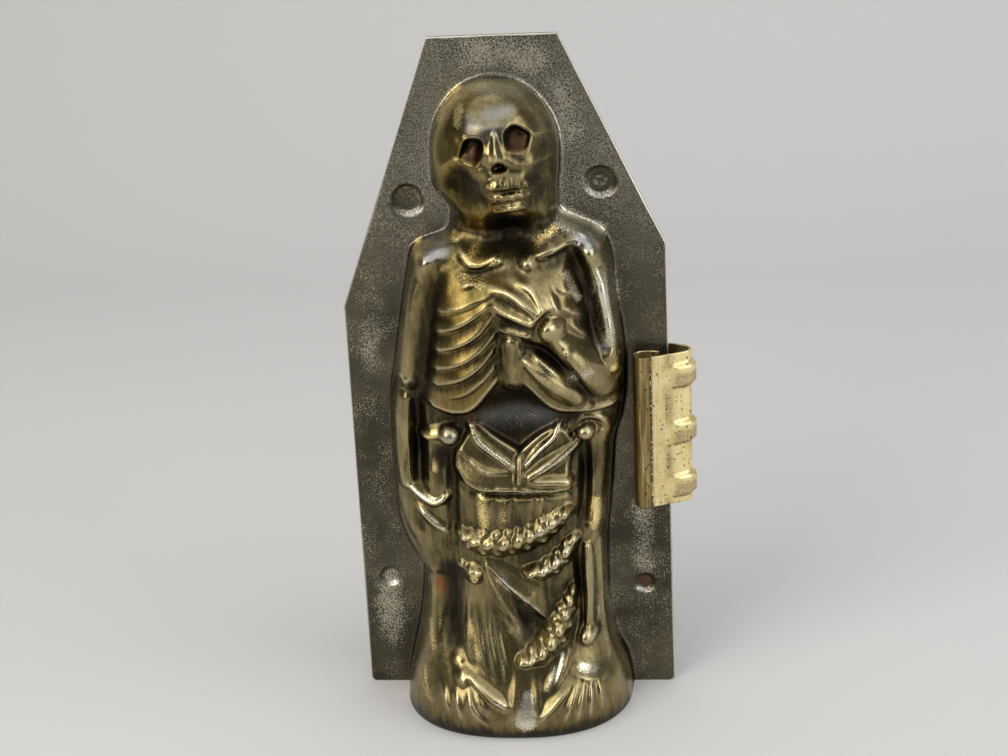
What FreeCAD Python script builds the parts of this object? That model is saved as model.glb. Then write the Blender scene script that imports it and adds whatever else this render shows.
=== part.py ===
import FreeCAD, Part
import math
import os

# Two-part pressed tin mould for a standing skeleton, closed by one spring clip.
# X runs to the viewer's right, Y away from the viewer and Z up. The origin is the middle
# of the pour mouth, on the plane where the two halves meet.

Vector = FreeCAD.Vector

# Driving sizes of the two pressed halves, in millimetres
sheet_thickness = 0.6
parting_gap = 0.1
figure_height = 156.0
figure_half_width = 30.0
front_depth = 28.0
back_depth = 20.0
fold_width = 2.2
flange_width = 9.2
side_taper = 1.0
head_margin = 9.0
top_half_width = 14.6
left_shoulder_drop = 62.5
right_shoulder_drop = 49.0
corner_radius = 1.5

# Locating dimples pressed through both flanges, from the front towards the back
upper_dimple_radius = 4.2
lower_dimple_radius = 3.1
dimple_depth = 1.3
dimple_wall_width = 1.5
nesting_clearance = 0.3

# Spring clip
clip_sheet_thickness = 0.5
clip_height = 38.5
clip_foot_height = 51.5
clip_bow_reach = 5.6
clip_jaw_depth = 5.9
clip_jaw_clearance = 0.3
clip_figure_clearance = 1.8
clip_rib_bulge = 1.1
clip_rib_width = 6.0

# Grid steps of the pressed surfaces and of curved lines, and how far normals look along the grid
relief_columns = 76
fold_steps = 4
body_rows = 150
crown_rows = 22
clip_rows = 40
curve_steps = 4
pressed_normal_steps = 2
clip_normal_steps = 1
edge_crowding_share = 0.65

# The squareness of the figure's sections, and how its forms are rounded, merged and cut off
section_power = 2.4
crest_power = 1.25
merge_power = 6
bar_edge_share = 0.35
shelf_drop_share = 0.27
shelf_least_drop = 1.0
relief_fade_share = 0.4

# The figure's outline: (share of its height, share of its half width)
right_outline_shares = [
    (0.0, 0.96), (0.03, 0.945), (0.06, 0.915), (0.097, 0.83), (0.137, 0.78), (0.185, 0.765),
    (0.27, 0.77), (0.33, 0.80), (0.41, 0.83), (0.44, 0.845), (0.48, 0.905), (0.53, 0.937),
    (0.58, 0.94), (0.62, 0.925), (0.67, 0.885), (0.74, 0.85), (0.762, 0.81), (0.777, 0.725),
    (0.79, 0.58), (0.80, 0.483), (0.812, 0.457), (0.84, 0.458), (0.87, 0.475), (0.895, 0.482)]
left_outline_shares = [
    (0.0, 0.967), (0.042, 0.94), (0.077, 0.897), (0.121, 0.84), (0.165, 0.797), (0.208, 0.77),
    (0.235, 0.765), (0.25, 0.82), (0.292, 0.92), (0.334, 0.965), (0.40, 0.965), (0.47, 0.955),
    (0.52, 0.945), (0.56, 0.905), (0.603, 0.86), (0.66, 0.80), (0.715, 0.743), (0.748, 0.703),
    (0.763, 0.597), (0.776, 0.407), (0.79, 0.37), (0.806, 0.365), (0.826, 0.41), (0.857, 0.507),
    (0.895, 0.503)]

# Depth of each half along its height: (share of the height, share of the half's depth)
front_depth_shares = [
    (0.0, 0.95), (0.01, 0.985), (0.02, 1.0), (0.05, 0.96), (0.10, 0.82), (0.16, 0.69),
    (0.22, 0.63), (0.32, 0.61), (0.39, 0.62), (0.45, 0.52), (0.51, 0.52), (0.60, 0.63),
    (0.67, 0.63), (0.72, 0.55), (0.76, 0.44), (0.785, 0.40), (0.80, 0.43), (0.82, 0.52),
    (0.85, 0.62), (0.88, 0.672), (0.895, 0.68)]
back_depth_shares = [
    (0.0, 0.95), (0.02, 1.0), (0.10, 0.90), (0.30, 0.72), (0.50, 0.66), (0.62, 0.72),
    (0.72, 0.66), (0.77, 0.45), (0.80, 0.42), (0.83, 0.62), (0.87, 0.80), (0.895, 0.85)]

# The skeleton's forms: (section, half width as a share of the figure's half width, rise as a share
# of the half's depth, line of points as shares of the half width and the height). A row of widths
# or rises runs along the line. A shelf slopes gently to the left of its line and drops to the right.
# Swells add up, bones lie over each other and cuts go in.
swell_shares = [
    ("soft", 0.38, 0.093, [(-0.27, 0.712), (-0.30, 0.628), (-0.30, 0.558)]),
    ("soft", 0.38, 0.093, [(0.33, 0.712), (0.37, 0.628), (0.47, 0.564)]),
    ("soft", 0.40, (-0.057, -0.114, -0.057), [(-0.27, 0.500), (0.10, 0.506), (0.43, 0.500)]),
    ("soft", 0.213, (-0.014, -0.114, -0.114, -0.014),
     [(-0.087, 0.791), (0.053, 0.785), (0.167, 0.785), (0.307, 0.792)]),
    ("soft", 0.187, 0.093, [(0.067, 0.856), (0.20, 0.858)]),
    ("soft", 0.147, 0.061, [(0.147, 0.826)]),
    ("soft", 0.167, (-0.114, -0.064), [(-0.227, 0.874), (-0.16, 0.841)]),
    ("soft", 0.153, -0.071, [(0.373, 0.872), (0.353, 0.843)]),
    ("soft", 0.12, -0.039, [(0.393, 0.913)]),
    ("soft", 0.127, -0.021, [(-0.347, 0.913)]),
    ("soft", 0.133, 0.032, [(-0.133, 0.950), (0.033, 0.949), (0.20, 0.963)]),
    ("soft", 0.12, 0.043, [(0.04, 0.910)]),
    ("soft", 0.25, 0.079, [(0.067, 0.699), (0.30, 0.679)]),
    ("soft", 0.207, 0.10, [(-0.54, 0.755)]),
    ("soft", 0.207, 0.10, [(0.713, 0.765)]),
    ("soft", 0.187, (-0.014, -0.071, -0.071, -0.014),
     [(-0.467, 0.308), (-0.487, 0.244), (-0.487, 0.173), (-0.467, 0.103)]),
    ("soft", 0.187, (-0.036, -0.107, -0.10, -0.021),
     [(-0.047, 0.221), (0.053, 0.192), (0.133, 0.167), (0.213, 0.135)]),
    ("soft", 0.267, 0.057, [(-0.10, 0.359), (0.267, 0.365)]),
    ("soft", 0.167, (0.021, 0.057, 0.05, 0.0),
     [(0.64, 0.321), (0.633, 0.269), (0.633, 0.205), (0.647, 0.128)]),
    ("soft", 0.283, 0.05, [(-0.40, 0.064)]),
    ("soft", 0.283, 0.05, [(0.517, 0.064)])]
skull_shares = [
    ("crest", (0.03, 0.045, 0.057), (0.032, 0.068, 0.057),
     [(0.04, 0.937), (0.047, 0.919), (0.057, 0.903)]),
    ("shelf", 0.093, (0.039, 0.032, 0.007), [(0.30, 0.936), (0.373, 0.932), (0.453, 0.926)]),
    ("soft", 0.073, 0.018, [(0.147, 0.901), (0.22, 0.896), (0.293, 0.890)]),
    ("soft", 0.08, (0.021, 0.021, 0.0), [(-0.053, 0.885), (-0.14, 0.881), (-0.293, 0.894)]),
    ("shelf", (0.053, 0.08, 0.053), (0.011, 0.054, 0.011),
     [(0.007, 0.819), (0.147, 0.830), (0.28, 0.826)]),
    ("soft", 0.045, 0.034, [(0.01, 0.869), (0.117, 0.871), (0.267, 0.865)]),
    ("soft", 0.04, 0.023, [(0.03, 0.846), (0.157, 0.850), (0.277, 0.849)])]
left_socket_shares = [
    (-0.187, 0.932), (-0.113, 0.936), (-0.037, 0.931), (-0.05, 0.908), (-0.117, 0.893), (-0.24, 0.903)]
right_socket_shares = [
    (0.093, 0.940), (0.173, 0.951), (0.303, 0.935), (0.283, 0.914), (0.24, 0.908), (0.12, 0.915)]
nose_hole_shares = [(0.057, 0.904), (0.147, 0.888), (0.073, 0.885), (-0.013, 0.885)]
socket_depth_share = 0.164
socket_floor_share = 0.45
nose_depth_share = 0.086
hollow_wall_share = 0.03
chest_shares = [
    ("shelf", (0.08, 0.153, 0.10), (0.018, 0.079, 0.046),
     [(-0.313, 0.767), (-0.247, 0.751), (-0.133, 0.745), (-0.03, 0.751)]),
    ("soft", 0.043, 0.043, [(0.003, 0.749)]),
    ("shelf", (0.10, 0.20, 0.167), (0.029, 0.071, 0.043),
     [(0.287, 0.754), (0.413, 0.760), (0.587, 0.772)]),
    ("soft", 0.087, 0.061, [(0.223, 0.749)]),
    ("soft", 0.14, (0.032, 0.039, 0.021), [(-0.32, 0.778), (-0.413, 0.768), (-0.513, 0.760)]),
    ("shelf", 0.113, (0.025, 0.046, 0.05, 0.036),
     [(-0.46, 0.681), (-0.287, 0.687), (-0.173, 0.696), (-0.077, 0.703)]),
    ("shelf", 0.12, (0.032, 0.057, 0.061, 0.05),
     [(-0.473, 0.650), (-0.307, 0.662), (-0.177, 0.676), (-0.073, 0.690)]),
    ("shelf", 0.12, (0.036, 0.061, 0.064, 0.054),
     [(-0.48, 0.622), (-0.287, 0.635), (-0.147, 0.651), (-0.057, 0.669)]),
    ("shelf", 0.12, (0.036, 0.061, 0.064, 0.054),
     [(-0.487, 0.594), (-0.28, 0.607), (-0.133, 0.626), (-0.033, 0.646)]),
    ("shelf", 0.12, (0.036, 0.061, 0.064, 0.05),
     [(-0.493, 0.567), (-0.287, 0.582), (-0.147, 0.601), (-0.05, 0.622)]),
    ("shelf", 0.113, (0.036, 0.061, 0.064, 0.046),
     [(-0.487, 0.540), (-0.28, 0.554), (-0.14, 0.576), (-0.047, 0.596)]),
    ("shelf", (0.167, 0.183, 0.15, 0.10), (0.071, 0.10, 0.10, 0.057),
     [(-0.547, 0.528), (-0.387, 0.521), (-0.227, 0.528), (-0.033, 0.574)]),
    ("shelf", (0.10, 0.167, 0.167, 0.133), (0.057, 0.10, 0.10, 0.079),
     [(0.18, 0.568), (0.367, 0.526), (0.583, 0.514), (0.833, 0.513)]),
    ("bar", 0.097, 0.046, [(0.083, 0.629), (0.097, 0.568)]),
    ("bar", 0.043, 0.068, [(0.083, 0.636), (0.097, 0.569)]),
    ("round", (0.04, 0.077, 0.097, 0.093), (0.057, 0.10, 0.107, 0.093),
     [(0.193, 0.606), (0.313, 0.586), (0.433, 0.559), (0.553, 0.533)]),
    ("crest", (0.04, 0.053, 0.047), (0.043, 0.086, 0.043),
     [(0.287, 0.610), (0.393, 0.594), (0.487, 0.573)]),
    ("shelf", 0.093, (0.021, 0.039, 0.021), [(0.46, 0.709), (0.547, 0.701), (0.633, 0.688)]),
    ("shelf", 0.093, (0.021, 0.043, 0.021), [(0.487, 0.682), (0.573, 0.672), (0.653, 0.656)]),
    ("shelf", 0.087, (0.021, 0.039, 0.021), [(0.54, 0.653), (0.62, 0.641), (0.687, 0.626)])]
arm_shares = [
    ("soft", (0.167, 0.213, 0.207, 0.167), (0.093, 0.121, 0.121, 0.10),
     [(-0.587, 0.750), (-0.667, 0.692), (-0.72, 0.628), (-0.76, 0.568)]),
    ("soft", 0.087, 0.114, [(-0.76, 0.565)]),
    ("soft", (0.113, 0.147, 0.14, 0.10), (0.064, 0.093, 0.093, 0.079),
     [(-0.807, 0.528), (-0.833, 0.487), (-0.84, 0.442), (-0.82, 0.397)]),
    ("crest", 0.043, (0.014, 0.079, 0.093), [(-0.78, 0.481), (-0.787, 0.442), (-0.797, 0.400)]),
    ("crest", 0.063, (0.057, 0.093, 0.10, 0.057),
     [(-0.82, 0.399), (-0.713, 0.386), (-0.587, 0.374), (-0.473, 0.386)]),
    ("crest", 0.067, (0.029, 0.079, 0.071, 0.029),
     [(-0.753, 0.369), (-0.68, 0.354), (-0.587, 0.337), (-0.50, 0.324)]),
    ("soft", 0.10, (0.021, 0.057, 0.014), [(-0.827, 0.359), (-0.747, 0.318), (-0.653, 0.281)]),
    ("soft", (0.153, 0.187, 0.18, 0.147), (0.10, 0.129, 0.129, 0.107),
     [(0.72, 0.753), (0.793, 0.695), (0.84, 0.637), (0.867, 0.583)]),
    ("soft", 0.107, 0.114, [(0.867, 0.574)]),
    ("soft", (0.107, 0.153, 0.18, 0.167), (0.10, 0.114, 0.118, 0.093),
     [(0.447, 0.638), (0.573, 0.609), (0.693, 0.577), (0.793, 0.544)]),
    ("crest", 0.043, (0.057, 0.10, 0.10, 0.093),
     [(0.52, 0.632), (0.627, 0.610), (0.733, 0.592), (0.847, 0.576)]),
    ("round", 0.103, 0.118, [(0.41, 0.654)]),
    ("soft", 0.073, 0.143, [(0.517, 0.622)]),
    ("crest", 0.057, (0.025, 0.061, 0.068), [(0.153, 0.724), (0.267, 0.714), (0.347, 0.688)]),
    ("crest", 0.057, (0.029, 0.061, 0.064, 0.057),
     [(-0.04, 0.715), (0.093, 0.710), (0.21, 0.696), (0.30, 0.683)]),
    ("crest", 0.057, (0.029, 0.064, 0.068), [(-0.04, 0.694), (0.063, 0.681), (0.257, 0.668)]),
    ("crest", 0.053, (0.029, 0.061, 0.054), [(-0.013, 0.665), (0.047, 0.653), (0.22, 0.647)]),
    ("crest", 0.04, 0.064, [(0.347, 0.688), (0.257, 0.668)]),
    ("crest", 0.04, (0.021, 0.054, 0.043), [(0.313, 0.722), (0.36, 0.705), (0.40, 0.688)]),
    ("crest", 0.04, (0.021, 0.054, 0.043), [(0.367, 0.721), (0.413, 0.701), (0.457, 0.681)])]
hip_shares = [
    ("crest", (0.04, 0.057, 0.057, 0.047), (0.079, 0.129, 0.139, 0.121),
     [(-0.267, 0.494), (-0.207, 0.471), (-0.077, 0.451), (0.06, 0.432)]),
    ("crest", (0.04, 0.057, 0.057, 0.047), (0.079, 0.129, 0.139, 0.121),
     [(0.42, 0.491), (0.373, 0.473), (0.26, 0.455), (0.153, 0.433)]),
    ("crest", 0.04, (0.064, 0.093, 0.107), [(-0.213, 0.494), (-0.09, 0.474), (0.09, 0.453)]),
    ("crest", 0.04, (0.064, 0.093, 0.107), [(0.393, 0.487), (0.26, 0.472), (0.117, 0.451)]),
    ("shelf", (0.067, 0.093, 0.08, 0.053), (0.086, 0.114, 0.121, 0.107),
     [(-0.353, 0.459), (-0.26, 0.438), (-0.157, 0.426), (0.02, 0.423)]),
    ("round", (0.05, 0.06, 0.057, 0.04), (0.093, 0.121, 0.125, 0.114),
     [(0.547, 0.462), (0.417, 0.444), (0.287, 0.430), (0.173, 0.419)]),
    ("round", (0.05, 0.047, 0.043, 0.033), (0.114, 0.118, 0.118, 0.107),
     [(0.473, 0.406), (0.36, 0.410), (0.267, 0.412), (0.187, 0.412)]),
    ("shelf", 0.087, (0.079, 0.104, 0.111, 0.096),
     [(-0.32, 0.410), (-0.20, 0.400), (0.10, 0.399), (0.48, 0.394)]),
    ("bar", 0.043, 0.132, [(0.107, 0.449), (0.103, 0.410)]),
    ("round", 0.09, 0.132, [(-0.44, 0.479)]),
    ("soft", (0.08, 0.087), (0.05, 0.079), [(-0.647, 0.474), (-0.50, 0.480)]),
    ("soft", 0.08, 0.079, [(-0.653, 0.474)]),
    ("soft", (0.133, 0.167, 0.133), (0.036, 0.061, 0.014),
     [(-0.58, 0.462), (-0.567, 0.423), (-0.567, 0.365)]),
    ("round", 0.083, 0.143, [(0.627, 0.477)]),
    ("soft", 0.063, (0.043, 0.079, 0.079, 0.05),
     [(0.527, 0.482), (0.62, 0.501), (0.747, 0.496), (0.813, 0.469)]),
    ("soft", (0.153, 0.133, 0.133, 0.16, 0.113), (0.079, 0.082, 0.082, 0.107, 0.043),
     [(0.747, 0.468), (0.727, 0.410), (0.713, 0.365), (0.70, 0.330), (0.71, 0.305)])]
hip_plate_shares = [
    (-0.247, 0.499), (-0.09, 0.476), (0.10, 0.454), (0.26, 0.474), (0.413, 0.495), (0.50, 0.485),
    (0.573, 0.463), (0.52, 0.429), (0.513, 0.393), (0.10, 0.396), (-0.213, 0.396), (-0.34, 0.408),
    (-0.44, 0.431), (-0.413, 0.458), (-0.32, 0.485)]
hip_plate_rise_share = 0.068
hip_plate_edge_share = 0.047
leg_shares = [
    ("shelf", (0.087, 0.167, 0.18, 0.10), (0.05, 0.107, 0.114, 0.021),
     [(-0.193, 0.276), (-0.007, 0.237), (0.107, 0.213), (0.253, 0.181)]),
    ("crest", 0.04, (0.064, 0.043, 0.032, 0.0),
     [(-0.193, 0.273), (-0.16, 0.244), (-0.06, 0.199), (0.053, 0.158)]),
    ("soft", 0.12, 0.079, [(-0.293, 0.256)]),
    ("soft", 0.067, 0.05, [(-0.393, 0.268)]),
    ("round", 0.04, 0.10, [(-0.32, 0.262)]),
    ("round", 0.04, 0.096, [(-0.253, 0.260)]),
    ("round", 0.04, 0.096, [(-0.29, 0.247)]),
    ("soft", 0.045, (0.0, 0.039, 0.036, 0.0),
     [(-0.347, 0.231), (-0.353, 0.179), (-0.36, 0.141), (-0.32, 0.109)]),
    ("soft", 0.04, (0.0, 0.032, 0.039, 0.0),
     [(-0.287, 0.218), (-0.28, 0.173), (-0.253, 0.135), (-0.20, 0.096)]),
    ("soft", 0.045, (0.0, 0.039, 0.036, 0.0),
     [(-0.22, 0.224), (-0.207, 0.167), (-0.173, 0.128), (-0.12, 0.083)]),
    ("soft", 0.04, (0.0, 0.032, 0.029, 0.0),
     [(-0.14, 0.192), (-0.12, 0.154), (-0.087, 0.122), (-0.04, 0.083)]),
    ("soft", 0.087, (0.007, 0.05, 0.046, 0.007),
     [(-0.627, 0.282), (-0.647, 0.212), (-0.68, 0.141), (-0.787, 0.064)]),
    ("round", (0.04, 0.057, 0.053, 0.043), (0.05, 0.079, 0.079, 0.057),
     [(0.62, 0.288), (0.623, 0.244), (0.623, 0.199), (0.617, 0.158)]),
    ("soft", (0.053, 0.057, 0.05, 0.043), (0.043, 0.068, 0.061, 0.007),
     [(0.72, 0.288), (0.733, 0.231), (0.76, 0.147), (0.86, 0.071)]),
    ("round", 0.083, 0.121, [(0.613, 0.142)]),
    ("soft", 0.04, (0.0, 0.036, 0.032, 0.0),
     [(0.527, 0.256), (0.54, 0.199), (0.507, 0.154), (0.447, 0.109)]),
    ("soft", 0.043, (0.0, 0.039, 0.032, 0.0),
     [(0.46, 0.141), (0.407, 0.109), (0.333, 0.083), (0.253, 0.062)])]
foot_shares = [
    ("soft", 0.08, 0.032, [(-0.46, 0.115)]),
    ("soft", 0.093, 0.05, [(-0.417, 0.095)]),
    ("round", (0.027, 0.037, 0.043, 0.03), (0.043, 0.054, 0.064, 0.032),
     [(-0.36, 0.097), (-0.253, 0.082), (-0.147, 0.067), (-0.067, 0.055)]),
    ("crest", 0.037, (0.007, 0.043, 0.036, 0.007),
     [(-0.58, 0.076), (-0.567, 0.062), (-0.547, 0.047), (-0.527, 0.035)]),
    ("crest", 0.037, (0.007, 0.046, 0.043, 0.007),
     [(-0.473, 0.078), (-0.46, 0.062), (-0.44, 0.044), (-0.427, 0.029)]),
    ("crest", 0.037, (0.007, 0.046, 0.046, 0.014),
     [(-0.367, 0.079), (-0.347, 0.060), (-0.30, 0.042), (-0.22, 0.027)]),
    ("crest", 0.033, (0.007, 0.036, 0.007), [(-0.30, 0.077), (-0.273, 0.062), (-0.227, 0.049)]),
    ("soft", 0.087, 0.043, [(0.553, 0.105), (0.633, 0.099)]),
    ("shelf", (0.087, 0.113, 0.087), (0.036, 0.064, 0.036),
     [(0.487, 0.092), (0.587, 0.082), (0.707, 0.073)]),
    ("shelf", (0.053, 0.087, 0.08, 0.047), (0.05, 0.064, 0.057, 0.021),
     [(0.213, 0.035), (0.287, 0.047), (0.373, 0.064), (0.48, 0.086)]),
    ("crest", 0.033, (0.05, 0.046, 0.043, 0.007),
     [(0.513, 0.083), (0.473, 0.063), (0.433, 0.044), (0.40, 0.027)]),
    ("crest", 0.033, (0.05, 0.046, 0.043, 0.007),
     [(0.56, 0.078), (0.54, 0.060), (0.52, 0.041), (0.507, 0.024)]),
    ("crest", 0.033, (0.05, 0.046, 0.043, 0.007),
     [(0.62, 0.074), (0.62, 0.058), (0.613, 0.040), (0.607, 0.024)]),
    ("crest", 0.033, (0.043, 0.043, 0.036, 0.007),
     [(0.687, 0.071), (0.70, 0.055), (0.707, 0.040), (0.70, 0.026)])]
cut_shares = [
    ("soft", (0.107, 0.147, 0.147, 0.127), (0.021, 0.086, 0.086, 0.057),
     [(-0.467, 0.737), (-0.553, 0.679), (-0.60, 0.609), (-0.653, 0.538)]),
    ("soft", (0.107, 0.16, 0.14, 0.087), (0.05, 0.121, 0.114, 0.05),
     [(0.567, 0.746), (0.653, 0.699), (0.72, 0.651), (0.787, 0.612)]),
    ("soft", 0.05, (0.021, 0.057, 0.05, 0.021),
     [(0.50, 0.603), (0.56, 0.579), (0.62, 0.553), (0.66, 0.524)]),
    ("soft", (0.087, 0.10, 0.087), (0.057, 0.093, 0.05),
     [(-0.687, 0.526), (-0.693, 0.462), (-0.68, 0.397)]),
    ("soft", (0.053, 0.073, 0.053), (0.021, 0.057, 0.021),
     [(-0.267, 0.732), (-0.12, 0.731), (0.047, 0.735)]),
    ("soft", 0.053, 0.05, [(0.32, 0.741), (0.44, 0.747), (0.553, 0.759)]),
    ("soft", 0.037, (0.014, 0.032, 0.032, 0.018),
     [(-0.267, 0.395), (-0.10, 0.390), (0.133, 0.390), (0.48, 0.386)]),
    ("soft", 0.067, (0.021, 0.071, 0.057, 0.021),
     [(0.547, 0.301), (0.547, 0.256), (0.553, 0.205), (0.547, 0.167)]),
    ("soft", 0.073, (0.021, 0.071, 0.057, 0.021),
     [(0.607, 0.455), (0.613, 0.410), (0.60, 0.365), (0.58, 0.321)]),
    ("soft", 0.073, (0.011, 0.046, 0.054, 0.029),
     [(-0.44, 0.449), (-0.427, 0.410), (-0.433, 0.359), (-0.433, 0.308)]),
    ("soft", 0.06, (0.029, 0.079, 0.064, 0.021),
     [(0.187, 0.629), (0.313, 0.623), (0.447, 0.60), (0.567, 0.574)]),
    ("soft", 0.043, (0.029, 0.05, 0.029), [(0.287, 0.647), (0.307, 0.667), (0.373, 0.681)]),
    ("soft", 0.037, (0.021, 0.043, 0.043, 0.021),
     [(-0.02, 0.855), (0.087, 0.858), (0.187, 0.860), (0.287, 0.857)]),
    ("soft", 0.037, (0.014, 0.032, 0.032, 0.014),
     [(-0.007, 0.835), (0.087, 0.838), (0.187, 0.841), (0.28, 0.838)])]

# Beaded rope round the legs: (half widths along a run, its points)
rope_shares = [
    ((0.06, 0.11, 0.123, 0.12, 0.067),
     [(-0.383, 0.326), (-0.24, 0.312), (-0.04, 0.309), (0.213, 0.324), (0.46, 0.355)]),
    ((0.053, 0.087, 0.083, 0.06), [(0.133, 0.260), (0.267, 0.262), (0.40, 0.278), (0.507, 0.305)]),
    ((0.017, 0.087, 0.113, 0.10, 0.033),
     [(0.50, 0.231), (0.44, 0.192), (0.333, 0.154), (0.20, 0.128), (0.053, 0.118)])]
rope_spread_share = 1.2
rope_rise_share = 0.089
bead_rise_share = 0.036
bead_size_share = 0.05
bead_pitch_share = 0.11

# Forms of the back half's right side, which its left side mirrors, and its spine and hips
back_swell_shares = [
    ("soft", 0.30, 0.10, [(0.35, 0.712), (0.283, 0.622)]),
    ("soft", 0.20, -0.13, [(0.573, 0.718), (0.65, 0.474)])]
blade_shares = [("crest", 0.08, 0.07, [(0.167, 0.731), (0.433, 0.692), (0.317, 0.609)])]
spine_shares = [
    ("round", 0.073, 0.10, [(0.0, 0.776), (0.0, 0.423)]),
    ("round", 0.073, 0.085,
     [(-0.60, 0.429), (-0.30, 0.413), (0.0, 0.401), (0.30, 0.413), (0.60, 0.429)])]
vertebra_count = 12
vertebra_shares = (0.087, 0.13)
vertebra_top_share = 0.763
vertebra_pitch_share = 0.028
back_rib_count = 5
back_rib_shares = (0.08, 0.065)
back_rib_top_share = 0.590
back_rib_pitch_share = 0.027
back_rib_line_shares = [(0.087, 0.0), (0.30, -0.004), (0.533, -0.022)]
fold_count = 7
fold_shares = (0.087, 0.07)
fold_line_shares = [(0.50, 0.372), (0.55, 0.218), (0.667, 0.051)]

# Dimple heights as shares of the figure's height, left then right: beside its neck and its shins
upper_dimple_shares = (0.82, 0.84)
lower_dimple_shares = (0.195, 0.179)

# Clip profile from the loose end of a jaw towards the bow: (place along X, where -1 is the tip
# of the roll and 1 the bow, and distance from the flange as a share of the jaw's depth)
clip_profile_shares = [
    (-0.10, 0.10), (-0.28, 0.01), (-0.45, 0.0), (-0.65, 0.01), (-0.86, 0.10), (-0.99, 0.32),
    (-1.0, 0.60), (-0.90, 0.88), (-0.74, 1.0), (-0.54, 0.97), (-0.26, 0.84), (0.20, 0.60),
    (0.60, 0.38), (0.88, 0.16)]
clip_rib_place_shares = (0.14, 0.50, 0.86)
clip_rib_start_share = 0.1

# Sizes that follow from the ones above
plate_height = figure_height + head_margin
plate_half_width = figure_half_width + flange_width
shoulder_half_width = plate_half_width - side_taper
inner_level = parting_gap / 2
outer_level = inner_level + sheet_thickness
cheek_height = figure_height * left_outline_shares[-1][0]
skull_rise = figure_height - cheek_height
cubic = 3


def smooth_value(table, place):
    """Value at a place on a smooth curve through (place, value) points with no overshoot."""
    if place <= table[0][0]:
        return table[0][1]
    if place >= table[-1][0]:
        return table[-1][1]
    steps = [b[0] - a[0] for a, b in zip(table, table[1:])]
    rises = [(b[1] - a[1]) / step for a, b, step in zip(table, table[1:], steps)]
    slopes = [rises[0]]
    for before, after in zip(rises, rises[1:]):
        slopes.append(2 * before * after / (before + after) if before * after > 0 else 0.0)
    slopes.append(rises[-1])
    index = max(i for i in range(len(steps)) if table[i][0] <= place)
    step = steps[index]
    t = (place - table[index][0]) / step
    start, end = table[index][1], table[index + 1][1]
    return (start * (1 + 2 * t) * (1 - t) ** 2 + end * t * t * (3 - 2 * t)
            + step * t * (1 - t) * (slopes[index] * (1 - t) - slopes[index + 1] * t))


def outline_at(height):
    """Left and right edges of the figure at a height up to its cheeks."""
    share = height / figure_height
    left = -figure_half_width * smooth_value(left_outline_shares, share)
    right = figure_half_width * smooth_value(right_outline_shares, share)
    return left, right


def edge_reach(x, z):
    """How far a point lies from the figure's middle line, where 1 is its outline.

    Above the cheeks the outline is half an ellipse, the round crown of the skull.
    """
    left, right = outline_at(z)
    across = (2 * x - left - right) / (right - left)
    rise = max(0.0, (z - cheek_height) / skull_rise)
    return math.hypot(across, rise)


def smooth_step(t):
    """Runs from 0 to 1 as t does, level at both ends."""
    t = min(1.0, max(0.0, t))
    return t * t * (3 - 2 * t)


def curved(points):
    """A smooth line through points: a Catmull-Rom cubic between each two of them."""
    if len(points) < 3:
        return points
    first = tuple(2 * a - b for a, b in zip(points[0], points[1]))
    last = tuple(2 * a - b for a, b in zip(points[-1], points[-2]))
    padded = [first] + points + [last]
    line = []
    for a, b, c, d in zip(padded, padded[1:], padded[2:], padded[3:]):
        for i in range(curve_steps):
            t = i / curve_steps
            line.append(tuple(
                q + t / 2 * (r - p + t * (2 * p - 5 * q + 4 * r - s + t * (3 * q - p - 3 * r + s)))
                for p, q, r, s in zip(a, b, c, d)))
    return line + [points[-1]]


def nearest_on_line(x, z, line):
    """Distance from a point to a line of points, the share of its length there, and the side.

    The side is positive to the left of the line's direction.
    """
    if len(line) == 1:
        return math.hypot(x - line[0][0], z - line[0][1]), 0.0, 1.0
    best = (math.inf, 0.0, 1.0)
    for i, ((ax, az), (bx, bz)) in enumerate(zip(line, line[1:])):
        dx, dz = bx - ax, bz - az
        t = ((x - ax) * dx + (z - az) * dz) / (dx * dx + dz * dz)
        t = min(1.0, max(0.0, t))
        away = math.hypot(x - ax - t * dx, z - az - t * dz)
        if away < best[0]:
            best = (away, (i + t) / (len(line) - 1), dx * (z - az) - dz * (x - ax))
    return best


def inset(x, z, corners):
    """How far a point lies inside a closed outline of points, or 0 outside it."""
    inside = False
    for (ax, az), (bx, bz) in zip(corners, corners[1:] + corners[:1]):
        if (az > z) != (bz > z) and x < ax + (z - az) / (bz - az) * (bx - ax):
            inside = not inside
    return nearest_on_line(x, z, corners + corners[:1])[0] if inside else 0.0


def places_in_mm(shares):
    """Points given as shares of the figure's half width and height."""
    return [(x * figure_half_width, z * figure_height) for x, z in shares]


def scaled(values, size):
    """One share or a row of shares of a size, as a row of lengths."""
    return tuple(value * size for value in (values if isinstance(values, tuple) else (values,)))


def value_along(values, share):
    """A value given at even steps along a line, read off at a share of its length."""
    place = share * (len(values) - 1)
    index = min(int(place), max(0, len(values) - 2))
    after = values[min(index + 1, len(values) - 1)]
    return values[index] + (after - values[index]) * (place - index)


def form_in_mm(section, widths, rises, points):
    """A form with its smooth line and the box that it keeps to."""
    line = curved(points)
    room = max(widths)
    xs, zs = zip(*line)
    box = (min(xs) - room, max(xs) + room, min(zs) - room, max(zs) + room)
    return section, widths, rises, line, box


def forms_in_mm(table, depth):
    """The rows of a table of forms in millimetres."""
    forms = []
    for section, widths, rises, shares in table:
        widths = scaled(widths, figure_half_width)
        forms.append(form_in_mm(section, widths, scaled(rises, depth), places_in_mm(shares)))
    return forms


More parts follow.
